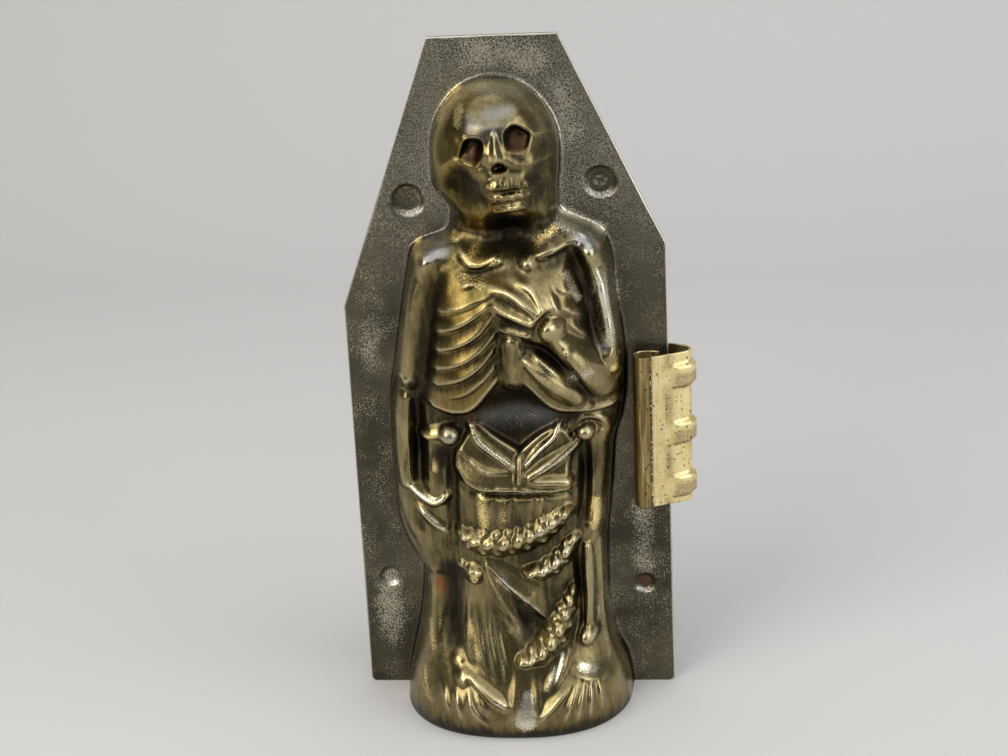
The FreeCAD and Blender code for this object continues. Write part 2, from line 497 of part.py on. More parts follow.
def rope_forms(depth):
    """Each run of rope as a soft tube, with one bead after another along it."""
    pitch = bead_pitch_share * figure_half_width
    forms = []
    for shares, points in rope_shares:
        widths = scaled(shares, figure_half_width)
        tube = tuple(width * rope_spread_share for width in widths)
        rope = form_in_mm("soft", tube, (rope_rise_share * depth,), places_in_mm(points))
        forms.append(rope)
        line = rope[3]
        walked = 0.0
        next_bead = pitch / 2
        for i, ((ax, az), (bx, bz)) in enumerate(zip(line, line[1:])):
            step = math.hypot(bx - ax, bz - az)
            while next_bead <= walked + step:
                t = (next_bead - walked) / step
                fullness = value_along(widths, (i + t) / (len(line) - 1)) / max(widths)
                size = bead_size_share * figure_half_width * (1 + fullness) / 2
                rise = (rope_rise_share + bead_rise_share) * depth
                place = (ax + t * (bx - ax), az + t * (bz - az))
                forms.append(form_in_mm("round", (size,), (rise,), [place]))
                next_bead += pitch
            walked += step
    return forms


def section_height(section, reach):
    """Height of a form's section, as a share of its rise, at a share of its half width."""
    if reach >= 1:
        return 0.0
    if section == "round":
        return math.sqrt(1 - reach * reach)
    if section == "soft":
        return (1 - reach * reach) ** 2
    if section == "bar":
        return smooth_step((1 - reach) / bar_edge_share)
    return (1 - reach) ** crest_power


def form_height(x, z, form):
    """Height of one form over a point."""
    section, widths, rises, line, box = form
    if not (box[0] < x < box[1] and box[2] < z < box[3]):
        return 0.0
    away, share, side = nearest_on_line(x, z, line)
    width = value_along(widths, share)
    if section == "shelf" and side < 0:
        width = max(width * shelf_drop_share, shelf_least_drop)
    return value_along(rises, share) * section_height(section, away / width)


def merged_height(x, z, forms):
    """Forms lying over each other, rounded where they cross: the root of a sum of powers."""
    return sum(form_height(x, z, form) ** merge_power for form in forms) ** (1 / merge_power)


def hollow_depth(x, z, corners):
    """How fully a point lies in a hollow with steep walls, and how high up in it, from 0 to 1."""
    heights = [corner[1] for corner in corners]
    climb = (z - min(heights)) / (max(heights) - min(heights))
    walls = 1 - math.exp(-inset(x, z, corners) / (hollow_wall_share * figure_half_width))
    return walls, min(1.0, max(0.0, climb))


def front_relief():
    """The height of the skeleton's forms on the front half, as a function of a point."""
    swells = forms_in_mm(swell_shares, front_depth)
    bones = forms_in_mm(chest_shares + arm_shares + hip_shares + leg_shares + foot_shares, front_depth)
    bones += rope_forms(front_depth)
    skull = forms_in_mm(skull_shares, front_depth)
    cuts = forms_in_mm(cut_shares, front_depth)
    sockets = [places_in_mm(left_socket_shares), places_in_mm(right_socket_shares)]
    nose_hole = places_in_mm(nose_hole_shares)
    hip_plate = places_in_mm(hip_plate_shares)
    plate_edge = hip_plate_edge_share * figure_half_width

    def height(x, z):
        swell = sum(form_height(x, z, form) for form in swells)
        plate = hip_plate_rise_share * front_depth * smooth_step(inset(x, z, hip_plate) / plate_edge)
        raised = max(plate, merged_height(x, z, bones), merged_height(x, z, skull))
        nose_sunk = nose_depth_share * front_depth * hollow_depth(x, z, nose_hole)[0]
        sunk = max(merged_height(x, z, cuts), nose_sunk)
        for socket in sockets:
            walls, climb = hollow_depth(x, z, socket)
            floor = socket_floor_share + (1 - socket_floor_share) * climb
            sunk = max(sunk, socket_depth_share * front_depth * walls * floor)
        return swell + raised - sunk

    return height


def mirrored(table):
    """Forms of the right side together with the same forms on the left."""
    return table + [(*row[:3], [(-x, z) for x, z in row[3]]) for row in table]


def back_relief():
    """The height of the spine, ribs and shroud folds on the back half, as a function of a point."""
    rows = spine_shares + mirrored(blade_shares)
    for i in range(vertebra_count):
        rows.append(("round", *vertebra_shares, [(0.0, vertebra_top_share - i * vertebra_pitch_share)]))
    for i in range(back_rib_count):
        top = back_rib_top_share - i * back_rib_pitch_share
        line = [(x, top + rise) for x, rise in back_rib_line_shares]
        rows += mirrored([("crest", *back_rib_shares, line)])
    for i in range(fold_count):
        side = 2 * i / (fold_count - 1) - 1
        rows.append(("soft", *fold_shares, [(side * x, z) for x, z in fold_line_shares]))
    swells = forms_in_mm(mirrored(back_swell_shares), back_depth)
    bones = forms_in_mm(rows, back_depth)

    def height(x, z):
        return sum(form_height(x, z, form) for form in swells) + merged_height(x, z, bones)

    return height


def relief_height(x, z, depth, depth_table, relief):
    """Height of the pressed figure above its plate: a rounded section with forms on it.

    The forms fade out towards the outline.
    """
    reach = edge_reach(x, z)
    if reach >= 1:
        return 0.0
    section = (1 - reach ** section_power) ** (1 / section_power)
    body = depth * smooth_value(depth_table, z / figure_height)
    fade = min(1.0, section / relief_fade_share) ** 2
    return max(0.0, body * section + fade * relief(x, z))


def crowded(count):
    """Places from -1 to 1 that crowd towards both ends."""
    places = []
    for i in range(count + 1):
        q = 2 * i / count - 1
        places.append((1 - edge_crowding_share) * q + edge_crowding_share * math.sin(q * math.pi / 2))
    return places


def fold_offsets():
    """Distances from the outline of the grid lines in the fold beside the figure."""
    return [fold_width * (i + 1) / fold_steps for i in range(fold_steps)]


def grid_columns():
    """Each column of the grid as (place across the figure from -1 to 1, distance beyond it)."""
    folds = fold_offsets()
    inside = [(place, 0.0) for place in crowded(relief_columns)]
    return [(-1, -fold) for fold in reversed(folds)] + inside + [(1, fold) for fold in folds]


def relief_places():
    """Rows of (x, z) places that follow the figure's outline.

    Up to the cheeks the rows are level. Above, a square grid is mapped onto half an ellipse, with
    x proportional to q sqrt(1 - v^2 / 2) and z to v sqrt(1 - q^2 / 2), so no row shrinks to a point.
    """
    columns = grid_columns()
    rows = []
    for j in range(body_rows):
        height = cheek_height * j / body_rows
        left, right = outline_at(height)
        middle = (left + right) / 2
        half = (right - left) / 2
        rows.append([(middle + half * q + beyond, height) for q, beyond in columns])
    left, right = outline_at(cheek_height)
    ups = [(v, 0.0) for v in crowded(2 * crown_rows)[crown_rows:]] + [(1, fold) for fold in fold_offsets()]
    for v, above in ups:
        narrowing = math.sqrt(1 - v * v / 2)
        row = []
        for q, beyond in columns:
            x = (left + right) / 2 + ((right - left) / 2 * q + beyond) * narrowing
            row.append((x, cheek_height + (skull_rise * v + above) * math.sqrt(1 - q * q / 2)))
        rows.append(row)
    return rows


def inward_grid(grid, thickness, facing, level_ends, steps):
    """A grid one sheet thickness behind another, along the grid's own normals.

    facing is 1 or -1 and picks the side. Where level_ends is set, the first row's normals stay
    level, so that the sheet is cut square there. A normal looks this many steps along the grid,
    which keeps the normals of fine forms from crossing.
    """
    rows, columns = len(grid), len(grid[0])
    moved = []
    for j in range(rows):
        row = []
        for i in range(columns):
            along = grid[min(j + steps, rows - 1)][i] - grid[max(j - steps, 0)][i]
            across = grid[j][min(i + steps, columns - 1)] - grid[j][max(i - steps, 0)]
            normal = across.cross(along) * facing
            if level_ends and j == 0:
                normal.z = 0
            normal.normalize()
            row.append(grid[j][i] + normal * thickness)
        moved.append(row)
    return moved


def knots_for(count):
    """Knots and multiplicities of a cubic that starts and ends on its first and last poles."""
    knots = [float(i) for i in range(count - cubic + 1)]
    return knots, [cubic + 1] + [1] * (len(knots) - 2) + [cubic + 1]


def pole_face(grid):
    """Smooth face held by a grid of poles, so that it never swings past them."""
    row_knots, row_mults = knots_for(len(grid))
    column_knots, column_mults = knots_for(len(grid[0]))
    surface = Part.BSplineSurface()
    surface.buildFromPolesMultsKnots(
        grid, row_mults, column_mults, row_knots, column_knots, False, False, cubic, cubic)
    return surface.toShape()


def pole_edge(poles):
    """Smooth edge held by a row of poles, equal to the border of a face on the same poles."""
    knots, mults = knots_for(len(poles))
    curve = Part.BSplineCurve()
    curve.buildFromPolesMultsKnots(poles, mults, knots, False, cubic)
    return curve.toShape()


def closed_solid(faces):
    """One solid from faces that meet edge to edge."""
    shell = Part.makeCompound(faces)
    shell.sewShape()
    solid = Part.Solid(shell.Shells[0])
    if solid.Volume < 0:
        solid.reverse()
    return solid


def sheet_solid(outer, inner):
    """A sheet between two grids of poles, closed along its four borders."""
    borders = [lambda grid: grid[0], lambda grid: grid[-1],
               lambda grid: [row[0] for row in grid], lambda grid: [row[-1] for row in grid]]
    faces = [pole_face(outer), pole_face(inner)]
    for border in borders:
        faces.append(Part.makeRuledSurface(pole_edge(border(outer)), pole_edge(border(inner))))
    return closed_solid(faces)


def rounded_path(points, radius):
    """Edges along points in one plane, with an arc at each corner between the two ends."""
    edges = []
    start = points[0]
    for before, corner, after in zip(points, points[1:], points[2:]):
        back = (before - corner).normalize()
        ahead = (after - corner).normalize()
        half_angle = back.getAngle(ahead) / 2
        reach = radius / math.tan(half_angle)
        middle_way = (back + ahead).normalize()
        centre = corner + middle_way * (radius / math.sin(half_angle))
        arc_start = corner + back * reach
        arc_end = corner + ahead * reach
        edges.append(Part.makeLine(start, arc_start))
        edges.append(Part.Arc(arc_start, centre - middle_way * radius, arc_end).toShape())
        start = arc_end
    edges.append(Part.makeLine(start, points[-1]))
    return edges


def plate_half_width_at(height, drop):
    """Half width of the coffin-shaped plate at a height, for the side with this shoulder drop."""
    shoulder = plate_height - drop
    if height <= shoulder:
        return plate_half_width - side_taper * height / shoulder
    return shoulder_half_width - (shoulder_half_width - top_half_width) * (height - shoulder) / drop


def plate_edges(level, left_foot, right_foot):
    """The coffin outline at a Y level, from one foot of the figure round to the other."""
    corners = [
        (left_foot, 0.0), (-plate_half_width, 0.0),
        (-shoulder_half_width, plate_height - left_shoulder_drop), (-top_half_width, plate_height),
        (top_half_width, plate_height), (shoulder_half_width, plate_height - right_shoulder_drop),
        (plate_half_width, 0.0), (right_foot, 0.0)]
    return rounded_path([Vector(x, level, z) for x, z in corners], corner_radius)


def dimples():
    """Centre and radius of the four dimples, each midway across the bare plate at its height."""
    places = []
    for shares, radius in ((upper_dimple_shares, upper_dimple_radius),
                           (lower_dimple_shares, lower_dimple_radius)):
        for side, share, drop in zip((-1, 1), shares, (left_shoulder_drop, right_shoulder_drop)):
            height = figure_height * share
            figure_side = outline_at(height)[0 if side < 0 else 1] + side * fold_width
            plate_side = side * plate_half_width_at(height, drop)
            places.append(((figure_side + plate_side) / 2, height, radius))
    return places


def dish_faces(x, z, radius, level, depth):
    """The wall and floor of a flat dish, its rim at a Y level and its floor further back."""
    floor_radius = radius - dimple_wall_width
    rim = Vector(x + radius, level, z)
    foot = Vector(x + floor_radius, level + depth, z)
    centre = Vector(x, level, z)
    wall = Part.makeLine(rim, foot).revolve(centre, Vector(0, 1, 0), 360)
    floor_edge = Part.makeCircle(floor_radius, centre + Vector(0, depth, 0), Vector(0, 1, 0))
    return [wall, Part.Face(Part.Wire(floor_edge))]


def flange_face(level, grid, dish_growth):
    """The bare plate round the figure at a Y level, with a round hole at each dimple."""
    left = pole_edge([row[0] for row in grid])
    right = pole_edge([row[-1] for row in grid])
    top = pole_edge(grid[-1])
    border = plate_edges(level, grid[0][0].x, grid[0][-1].x) + [right, top, left]
    wires = [Part.Wire(Part.__sortEdges__(border))]
    for x, z, radius in dimples():
        wires.append(Part.Wire(Part.makeCircle(radius + dish_growth, Vector(x, level, z), Vector(0, 1, 0))))
    return Part.makeFace(wires, "Part::FaceMakerBullseye")


def rim_face(outer_row, inner_row):
    """The flat cut rim of the pour mouth, between the sheet's outer and inner face."""
    ends = [Part.makeLine(outer_row[i], inner_row[i]) for i in (0, -1)]
    return Part.Face(Part.Wire(Part.__sortEdges__([pole_edge(outer_row), pole_edge(inner_row)] + ends)))


def pressed_half(side, depth, depth_table, relief, dish_growths, dish_depth):
    """One half of the mould: a coffin-shaped sheet with its side of the figure pressed out of it.

    side is -1 for the front half and 1 for the back half. dish_growths are what the dimples gain
    in radius on the sheet's outer and inner face, and dish_depth is their depth.
    """
    outer = []
    for row in relief_places():
        rises = [relief_height(x, z, depth, depth_table, relief) for x, z in row]
        outer.append([Vector(x, side * (outer_level + rise), z) for (x, z), rise in zip(row, rises)])
    inner = inward_grid(outer, sheet_thickness, side, True, pressed_normal_steps)
    faces = [pole_face(outer), pole_face(inner)]
    faces.append(rim_face(outer[0], inner[0]))
    levels = (side * outer_level, side * inner_level)
    for level, grid, growth in zip(levels, (outer, inner), dish_growths):
        faces.append(flange_face(level, grid, growth))
        for x, z, radius in dimples():
            faces += dish_faces(x, z, radius + growth, level, dish_depth)
    across = Vector(0, levels[1] - levels[0], 0)
    for edge in plate_edges(levels[0], outer[0][0].x, outer[0][-1].x):
        faces.append(edge.extrude(across))
    return closed_solid(faces)


def front_half():
    """The half with the skeleton's face, ribs, arms, hips, legs and rope."""
    growths = (0.0, dish_wall_growth())
    return pressed_half(-1, front_depth, front_depth_shares, front_relief(), growths, dimple_depth)


def back_half():
    """The plainer half behind it, with a spine, shoulder blades and a shroud in folds."""
    nested = dish_wall_growth() + nesting_clearance
    growths = (nested + dish_wall_growth(), nested)
    dish_depth = dimple_depth + nesting_clearance
    return pressed_half(1, back_depth, back_depth_shares, back_relief(), growths, dish_depth)


def dish_wall_growth():
    """How much wider a dish is on the sheet's far face than on its near face."""
    return sheet_thickness * math.tan(math.atan2(dimple_depth, dimple_wall_width) / 2)


def clip_span():
    """The X places of the tip of the clip's rolled jaws and of its bow.

    The tip stays clear of the widest part of the figure beside the clip.
    """
    heights = [clip_foot_height + clip_height * j / clip_rows for j in range(clip_rows + 1)]
    tip = max(outline_at(height)[1] for height in heights) + clip_figure_clearance
    bow = plate_half_width_at(clip_foot_height, right_shoulder_drop) + clip_bow_reach
    return tip, bow


def clip_profile():
    """Points (x, y, place) of the clip's outer face from above, from the front jaw to the back jaw."""
    tip, bow = clip_span()
    nearest = outer_level + clip_jaw_clearance
    front = []
    for place, share in clip_profile_shares:
        front.append(((tip + bow) / 2 + place * (bow - tip) / 2, -nearest - clip_jaw_depth * share, place))
    back = [(x, -y, place) for x, y, place in reversed(front)]
    return front + [(bow, 0.0, 1.0)] + back


def spring_clip():
    """The clip: one strip bent round the flange, its jaws rolled inward, with embossed ribs."""
    profile = clip_profile()
    grid = []
    for j in range(clip_rows + 1):
        height = clip_foot_height + clip_height * j / clip_rows
        bulge = 0.0
        for share in clip_rib_place_shares:
            reach = (height - clip_foot_height - clip_height * share) / (clip_rib_width / 2)
            bulge = max(bulge, clip_rib_bulge * max(0.0, 1 - reach ** 4))
        row = []
        for i, (x, y, place) in enumerate(profile):
            before, after = profile[max(i - 1, 0)], profile[min(i + 1, len(profile) - 1)]
            out = Vector(after[1] - before[1], before[0] - after[0], 0).normalize()
            swell = bulge if place > clip_rib_start_share else 0.0
            row.append(Vector(x, y, height) + out * swell)
        grid.append(row)
    inner = inward_grid(grid, clip_sheet_thickness, -1, False, clip_normal_steps)
    return sheet_solid(grid, inner)


os.makedirs("parts", exist_ok=True)
for make in (front_half, back_half, spring_clip):
    shape = make()
    shape.exportStep("parts/" + make.__name__ + ".step")
    print(make.__name__, "valid", shape.isValid(), "volume", round(shape.Volume, 1), shape.BoundBox)
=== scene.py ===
import math

import bpy
import numpy as np
from mathutils import Matrix, Vector


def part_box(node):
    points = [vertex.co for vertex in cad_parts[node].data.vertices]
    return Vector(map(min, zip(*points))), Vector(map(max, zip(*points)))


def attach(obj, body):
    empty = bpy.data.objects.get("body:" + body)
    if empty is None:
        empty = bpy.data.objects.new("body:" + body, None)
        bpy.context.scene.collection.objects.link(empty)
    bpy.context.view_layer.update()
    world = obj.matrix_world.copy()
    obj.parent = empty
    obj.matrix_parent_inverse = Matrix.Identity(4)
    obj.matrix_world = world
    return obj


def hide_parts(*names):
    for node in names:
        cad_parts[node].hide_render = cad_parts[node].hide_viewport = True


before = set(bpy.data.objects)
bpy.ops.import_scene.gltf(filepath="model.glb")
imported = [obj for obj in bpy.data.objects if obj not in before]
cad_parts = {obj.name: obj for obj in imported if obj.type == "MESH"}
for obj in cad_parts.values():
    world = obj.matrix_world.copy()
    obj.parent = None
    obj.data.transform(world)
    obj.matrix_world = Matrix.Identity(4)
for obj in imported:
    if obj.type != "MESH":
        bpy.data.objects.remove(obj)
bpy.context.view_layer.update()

# An old two-part tin mould for a standing skeleton, clamped by one spring clip.
# Shapes are worked out in millimetres in the part's own frame: X to the viewer's right, Y away
# from the viewer and Z up, with the plates meeting at Y = 0. MM turns them into metres.
MM = 0.001
front_low, front_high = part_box("front_half")
back_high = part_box("back_half")[1]
clip_low, clip_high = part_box("spring_clip")

# The pressed sheets, with the figure's size taken from the plate around it
sheet = 0.6
parting_gap = 0.1
flange_width = 9.2
head_margin = 9.0
side_taper = 1.0
top_half_width = 14.6
left_shoulder_drop = 62.5
right_shoulder_drop = 49.0
foot_corner = 1.5
plate_height = front_high[2] / MM
plate_half_width = front_high[0] / MM
figure_height = plate_height - head_margin
figure_half_width = plate_half_width - flange_width
front_depth = 28.0
back_depth = 20.0
section_power = 2.4
face_level = parting_gap / 2 + sheet
front_reach = -front_low[1] / MM - face_level
back_reach = back_high[1] / MM - face_level

# Grid of each sheet: the inner face keeps every third line of the outer one
figure_columns = 160
flange_columns = 22
body_rows = 300
face_rows = 50
crown_rows = 43
margin_rows = 21
inner_step = 3
crowding = 0.5
chin_height = 125.0
side_rise_share = 0.6
top_spread_share = 0.62

# Outline of the figure: (share of its height, share of its half width), then half an ellipse
right_outline = [
    (0.0, 0.96), (0.03, 0.945), (0.06, 0.915), (0.097, 0.83), (0.137, 0.78), (0.185, 0.765),
    (0.27, 0.77), (0.33, 0.80), (0.41, 0.83), (0.44, 0.845), (0.48, 0.905), (0.53, 0.937),
    (0.58, 0.94), (0.62, 0.925), (0.67, 0.885), (0.74, 0.85), (0.762, 0.81), (0.777, 0.725),
    (0.79, 0.58), (0.80, 0.483), (0.812, 0.457), (0.84, 0.458), (0.87, 0.475), (0.895, 0.482)]
left_outline = [
    (0.0, 0.967), (0.042, 0.94), (0.077, 0.897), (0.121, 0.84), (0.165, 0.797), (0.208, 0.77),
    (0.235, 0.765), (0.25, 0.82), (0.292, 0.92), (0.334, 0.965), (0.40, 0.965), (0.47, 0.955),
    (0.52, 0.945), (0.56, 0.905), (0.603, 0.86), (0.66, 0.80), (0.715, 0.743), (0.748, 0.703),
    (0.763, 0.597), (0.776, 0.407), (0.79, 0.37), (0.806, 0.365), (0.826, 0.41), (0.857, 0.507),
    (0.895, 0.503)]
cheek_height = left_outline[-1][0] * figure_height
crown_rise = figure_height - cheek_height

# Depth of each half along the figure: (share of its height, share of the half's depth)
front_depths = [
    (0.0, 0.95), (0.01, 0.985), (0.02, 1.0), (0.05, 0.96), (0.10, 0.82), (0.16, 0.69),
    (0.22, 0.63), (0.32, 0.61), (0.39, 0.62), (0.45, 0.52), (0.51, 0.52), (0.60, 0.63),
    (0.67, 0.63), (0.72, 0.55), (0.76, 0.44), (0.785, 0.40), (0.80, 0.43), (0.82, 0.52),
    (0.85, 0.62), (0.88, 0.672), (0.895, 0.68)]
back_depths = [
    (0.0, 0.95), (0.02, 1.0), (0.10, 0.90), (0.30, 0.72), (0.50, 0.66), (0.62, 0.72),
    (0.72, 0.66), (0.77, 0.45), (0.80, 0.42), (0.83, 0.62), (0.87, 0.80), (0.895, 0.85)]

# Locating dimples: (x, z, radius), pressed from the front towards the back
dimple_depth = 1.3
dimple_wall = 1.5
nesting = 0.3
upper_dimple = 4.2
lower_dimple = 3.1
upper_dimple_places = (0.82, 0.84)
lower_dimple_places = (0.195, 0.179)
disc_radius = 1.8
disc_rise = 0.35
disc_edge = 1.5
# Painted highlights: crescents on the dimples' lower walls, and rings round the discs' edges
crescent_half_width = 0.5
crescent_start_share = 0.2
crescent_fade_share = 0.4
disc_highlight = 0.6
disc_highlight_half_width = 0.25
fold_width = 2.2
fold_softness = 0.35
fold_fall = 3.0
fold_trim_share = 0.2

# How the pressed forms are rounded, merged and cut off
curve_steps = 6
fade_share = 0.4
form_rounds = 1
merge_power = 6
crest_power = 1.25
bar_edge_share = 0.35
shelf_drop_share = 0.27
shelf_least_drop = 0.7
socket_wall = 0.9
socket_rounding = 0.4
socket_floor_share = 0.45
socket_far = 20
socket_rim_half_width = 0.7
socket_rim_rise = 0.16
nose_depth = 2.4
nose_wall = 0.9
tooth_half_length = 0.4

# The skeleton's forms on the front half: (section, half width, rise, line of points (x, z)).
# A section is soft, round, crest, bar or shelf, and a shelf slopes away gently to the left of its
# line and drops steeply to the right. A tuple of widths or rises runs along the line. Swells add
# up, bones lie over each other and cuts go in.
swells = [
    ("soft", 11.5, 2.6, [(-8, 111), (-9, 98), (-9, 87)]),
    ("soft", 11.5, 2.6, [(10, 111), (11, 98), (14, 88)]),
    ("soft", 12.0, (-1.6, -3.2, -1.6), [(-8, 78), (3, 79), (13, 78)]),
    ("soft", 6.4, (-0.4, -3.2, -3.2, -0.4), [(-2.6, 123.4), (1.6, 122.4), (5, 122.4), (9.2, 123.6)]),
    ("soft", 5.6, 2.6, [(2, 133.6), (6, 133.8)]),
    ("soft", 4.4, 1.7, [(4.4, 128.8)]),
    ("soft", 5.0, (-3.2, -1.8), [(-6.8, 136.4), (-4.8, 131.2)]),
    ("soft", 4.6, -2.0, [(11.2, 136), (10.6, 131.5)]),
    ("soft", 3.6, -1.1, [(11.8, 142.4)]),
    ("soft", 3.8, -0.6, [(-10.4, 142.4)]),
    ("soft", 4.0, 0.9, [(-4, 148.2), (1, 148), (6, 150.2)]),
    ("soft", 3.6, 1.2, [(1.2, 142)]),
    ("soft", 7.5, 2.2, [(2, 109), (9, 106)]),
    ("soft", 6.2, 2.8, [(-16.2, 117.8)]),
    ("soft", 6.2, 2.8, [(21.4, 119.4)]),
    ("soft", 5.6, (-0.4, -2.0, -2.0, -0.4), [(-14.0, 48), (-14.6, 38), (-14.6, 27), (-14.0, 16)]),
    ("soft", 5.6, (-1.0, -3.0, -2.8, -0.6), [(-1.4, 34.5), (1.6, 30), (4, 26), (6.4, 21)]),
    ("soft", 8.0, 1.6, [(-3, 56), (8, 57)]),
    ("soft", 5.0, (0.6, 1.6, 1.4, 0.0), [(19.2, 50), (19, 42), (19, 32), (19.4, 20)]),
    ("soft", 8.5, 1.4, [(-12, 10)]),
    ("soft", 8.5, 1.4, [(15.5, 10)]),
]
skull_bones = [
    ("crest", (0.8, 1.3, 1.7), (0.9, 1.9, 1.6), [(1.2, 146.2), (1.4, 143.4), (1.7, 140.8)]),
    ("shelf", 2.8, (1.1, 0.9, 0.2), [(9.0, 146.0), (11.2, 145.4), (13.6, 144.4)]),
    ("soft", 2.2, 0.5, [(4.4, 140.6), (6.6, 139.8), (8.8, 138.8)]),
    ("soft", 2.4, (0.6, 0.6, 0.0), [(-1.6, 138.0), (-4.2, 137.4), (-8.8, 139.4)]),
    ("shelf", (1.6, 2.4, 1.6), (0.3, 1.5, 0.3), [(0.2, 127.8), (4.4, 129.5), (8.4, 128.8)]),
    ("soft", 3.4, (0.0, 0.4, 0.2), [(-9.0, 133.0), (-6.4, 128.4), (-0.6, 125.6)]),
    ("soft", 3.4, (0.0, 0.3, 0.2), [(12.4, 132.4), (11.0, 128.4), (7.2, 126.0)]),
]
left_socket = [(-5.6, 145.4), (-3.4, 146.0), (-1.1, 145.2), (-1.5, 141.6), (-3.5, 139.3), (-7.2, 140.8)]
right_socket = [(2.8, 146.6), (5.2, 148.4), (9.1, 145.8), (8.5, 142.6), (7.2, 141.6), (3.6, 142.8)]
socket_depth = 4.6
nose_hole = [(1.7, 141.0), (4.4, 138.6), (2.2, 138.0), (-0.4, 138.0)]
# Worn teeth: (x, z, half width, rise)
teeth = [
    (0.3, 135.6, 1.2, 0.9), (3.5, 135.8, 1.4, 1.1), (6.0, 135.2, 1.0, 0.6), (8.0, 135.0, 0.9, 0.8),
    (0.9, 131.9, 0.9, 0.4), (2.8, 132.2, 0.9, 0.5), (4.7, 132.6, 1.0, 0.8), (6.7, 132.7, 1.0, 0.8),
    (8.3, 132.5, 0.7, 0.6)]
chest_bones = [
    ("shelf", (2.4, 4.6, 3.0), (0.5, 2.2, 1.3),
     [(-9.4, 119.6), (-7.4, 117.2), (-4.0, 116.2), (-0.9, 117.2)]),
    ("soft", 1.3, 1.2, [(0.1, 116.9)]),
    ("shelf", (3.0, 6.0, 5.0), (0.8, 2.0, 1.2), [(8.6, 117.6), (12.4, 118.6), (17.6, 120.4)]),
    ("soft", 2.6, 1.7, [(6.7, 116.9)]),
    ("soft", 4.2, (0.9, 1.1, 0.6), [(-9.6, 121.4), (-12.4, 119.8), (-15.4, 118.6)]),
    ("shelf", 3.4, (0.7, 1.3, 1.4, 1.0), [(-13.8, 106.2), (-8.6, 107.2), (-5.2, 108.5), (-2.3, 109.6)]),
    ("shelf", 3.6, (0.9, 1.6, 1.7, 1.4), [(-14.2, 101.4), (-9.2, 103.2), (-5.3, 105.4), (-2.2, 107.6)]),
    ("shelf", 3.6, (1.0, 1.7, 1.8, 1.5), [(-14.4, 97.0), (-8.6, 99.0), (-4.4, 101.5), (-1.7, 104.4)]),
    ("shelf", 3.6, (1.0, 1.7, 1.8, 1.5), [(-14.6, 92.6), (-8.4, 94.7), (-4.0, 97.6), (-1.0, 100.8)]),
    ("shelf", 3.6, (1.0, 1.7, 1.8, 1.4), [(-14.8, 88.4), (-8.6, 90.8), (-4.4, 93.8), (-1.5, 97.0)]),
    ("shelf", 3.4, (1.0, 1.7, 1.8, 1.3), [(-14.6, 84.2), (-8.4, 86.4), (-4.2, 89.8), (-1.4, 93.0)]),
    ("crest", 1.0, (0.2, 0.7, 0.3), [(-8.0, 111.6), (-6.2, 112.4), (-4.4, 112.6)]),
    ("shelf", (5.0, 5.5, 4.5, 3.0), (2.0, 2.8, 2.8, 1.6),
     [(-16.4, 82.4), (-11.6, 81.2), (-6.8, 82.4), (-1.0, 89.6)]),
    ("shelf", (3.0, 5.0, 5.0, 4.0), (1.6, 2.8, 2.8, 2.2),
     [(5.4, 88.6), (11.0, 82.0), (17.5, 80.2), (25.0, 80.0)]),
    ("bar", 2.9, 1.3, [(2.5, 98.2), (2.9, 88.6)]),
    ("bar", 1.3, 1.9, [(2.5, 99.2), (2.9, 88.8)]),
    ("round", (1.2, 2.3, 2.9, 2.8), (1.6, 2.8, 3.0, 2.6),
     [(5.8, 94.6), (9.4, 91.4), (13.0, 87.2), (16.6, 83.2)]),
    ("crest", (1.2, 1.6, 1.4), (1.2, 2.4, 1.2), [(8.6, 95.2), (11.8, 92.6), (14.6, 89.4)]),
    ("shelf", 2.8, (0.6, 1.1, 0.6), [(13.8, 110.6), (16.4, 109.4), (19.0, 107.4)]),
    ("shelf", 2.8, (0.6, 1.2, 0.6), [(14.6, 106.4), (17.2, 104.8), (19.6, 102.4)]),
    ("shelf", 2.6, (0.6, 1.1, 0.6), [(16.2, 101.8), (18.6, 100.0), (20.6, 97.6)]),
]
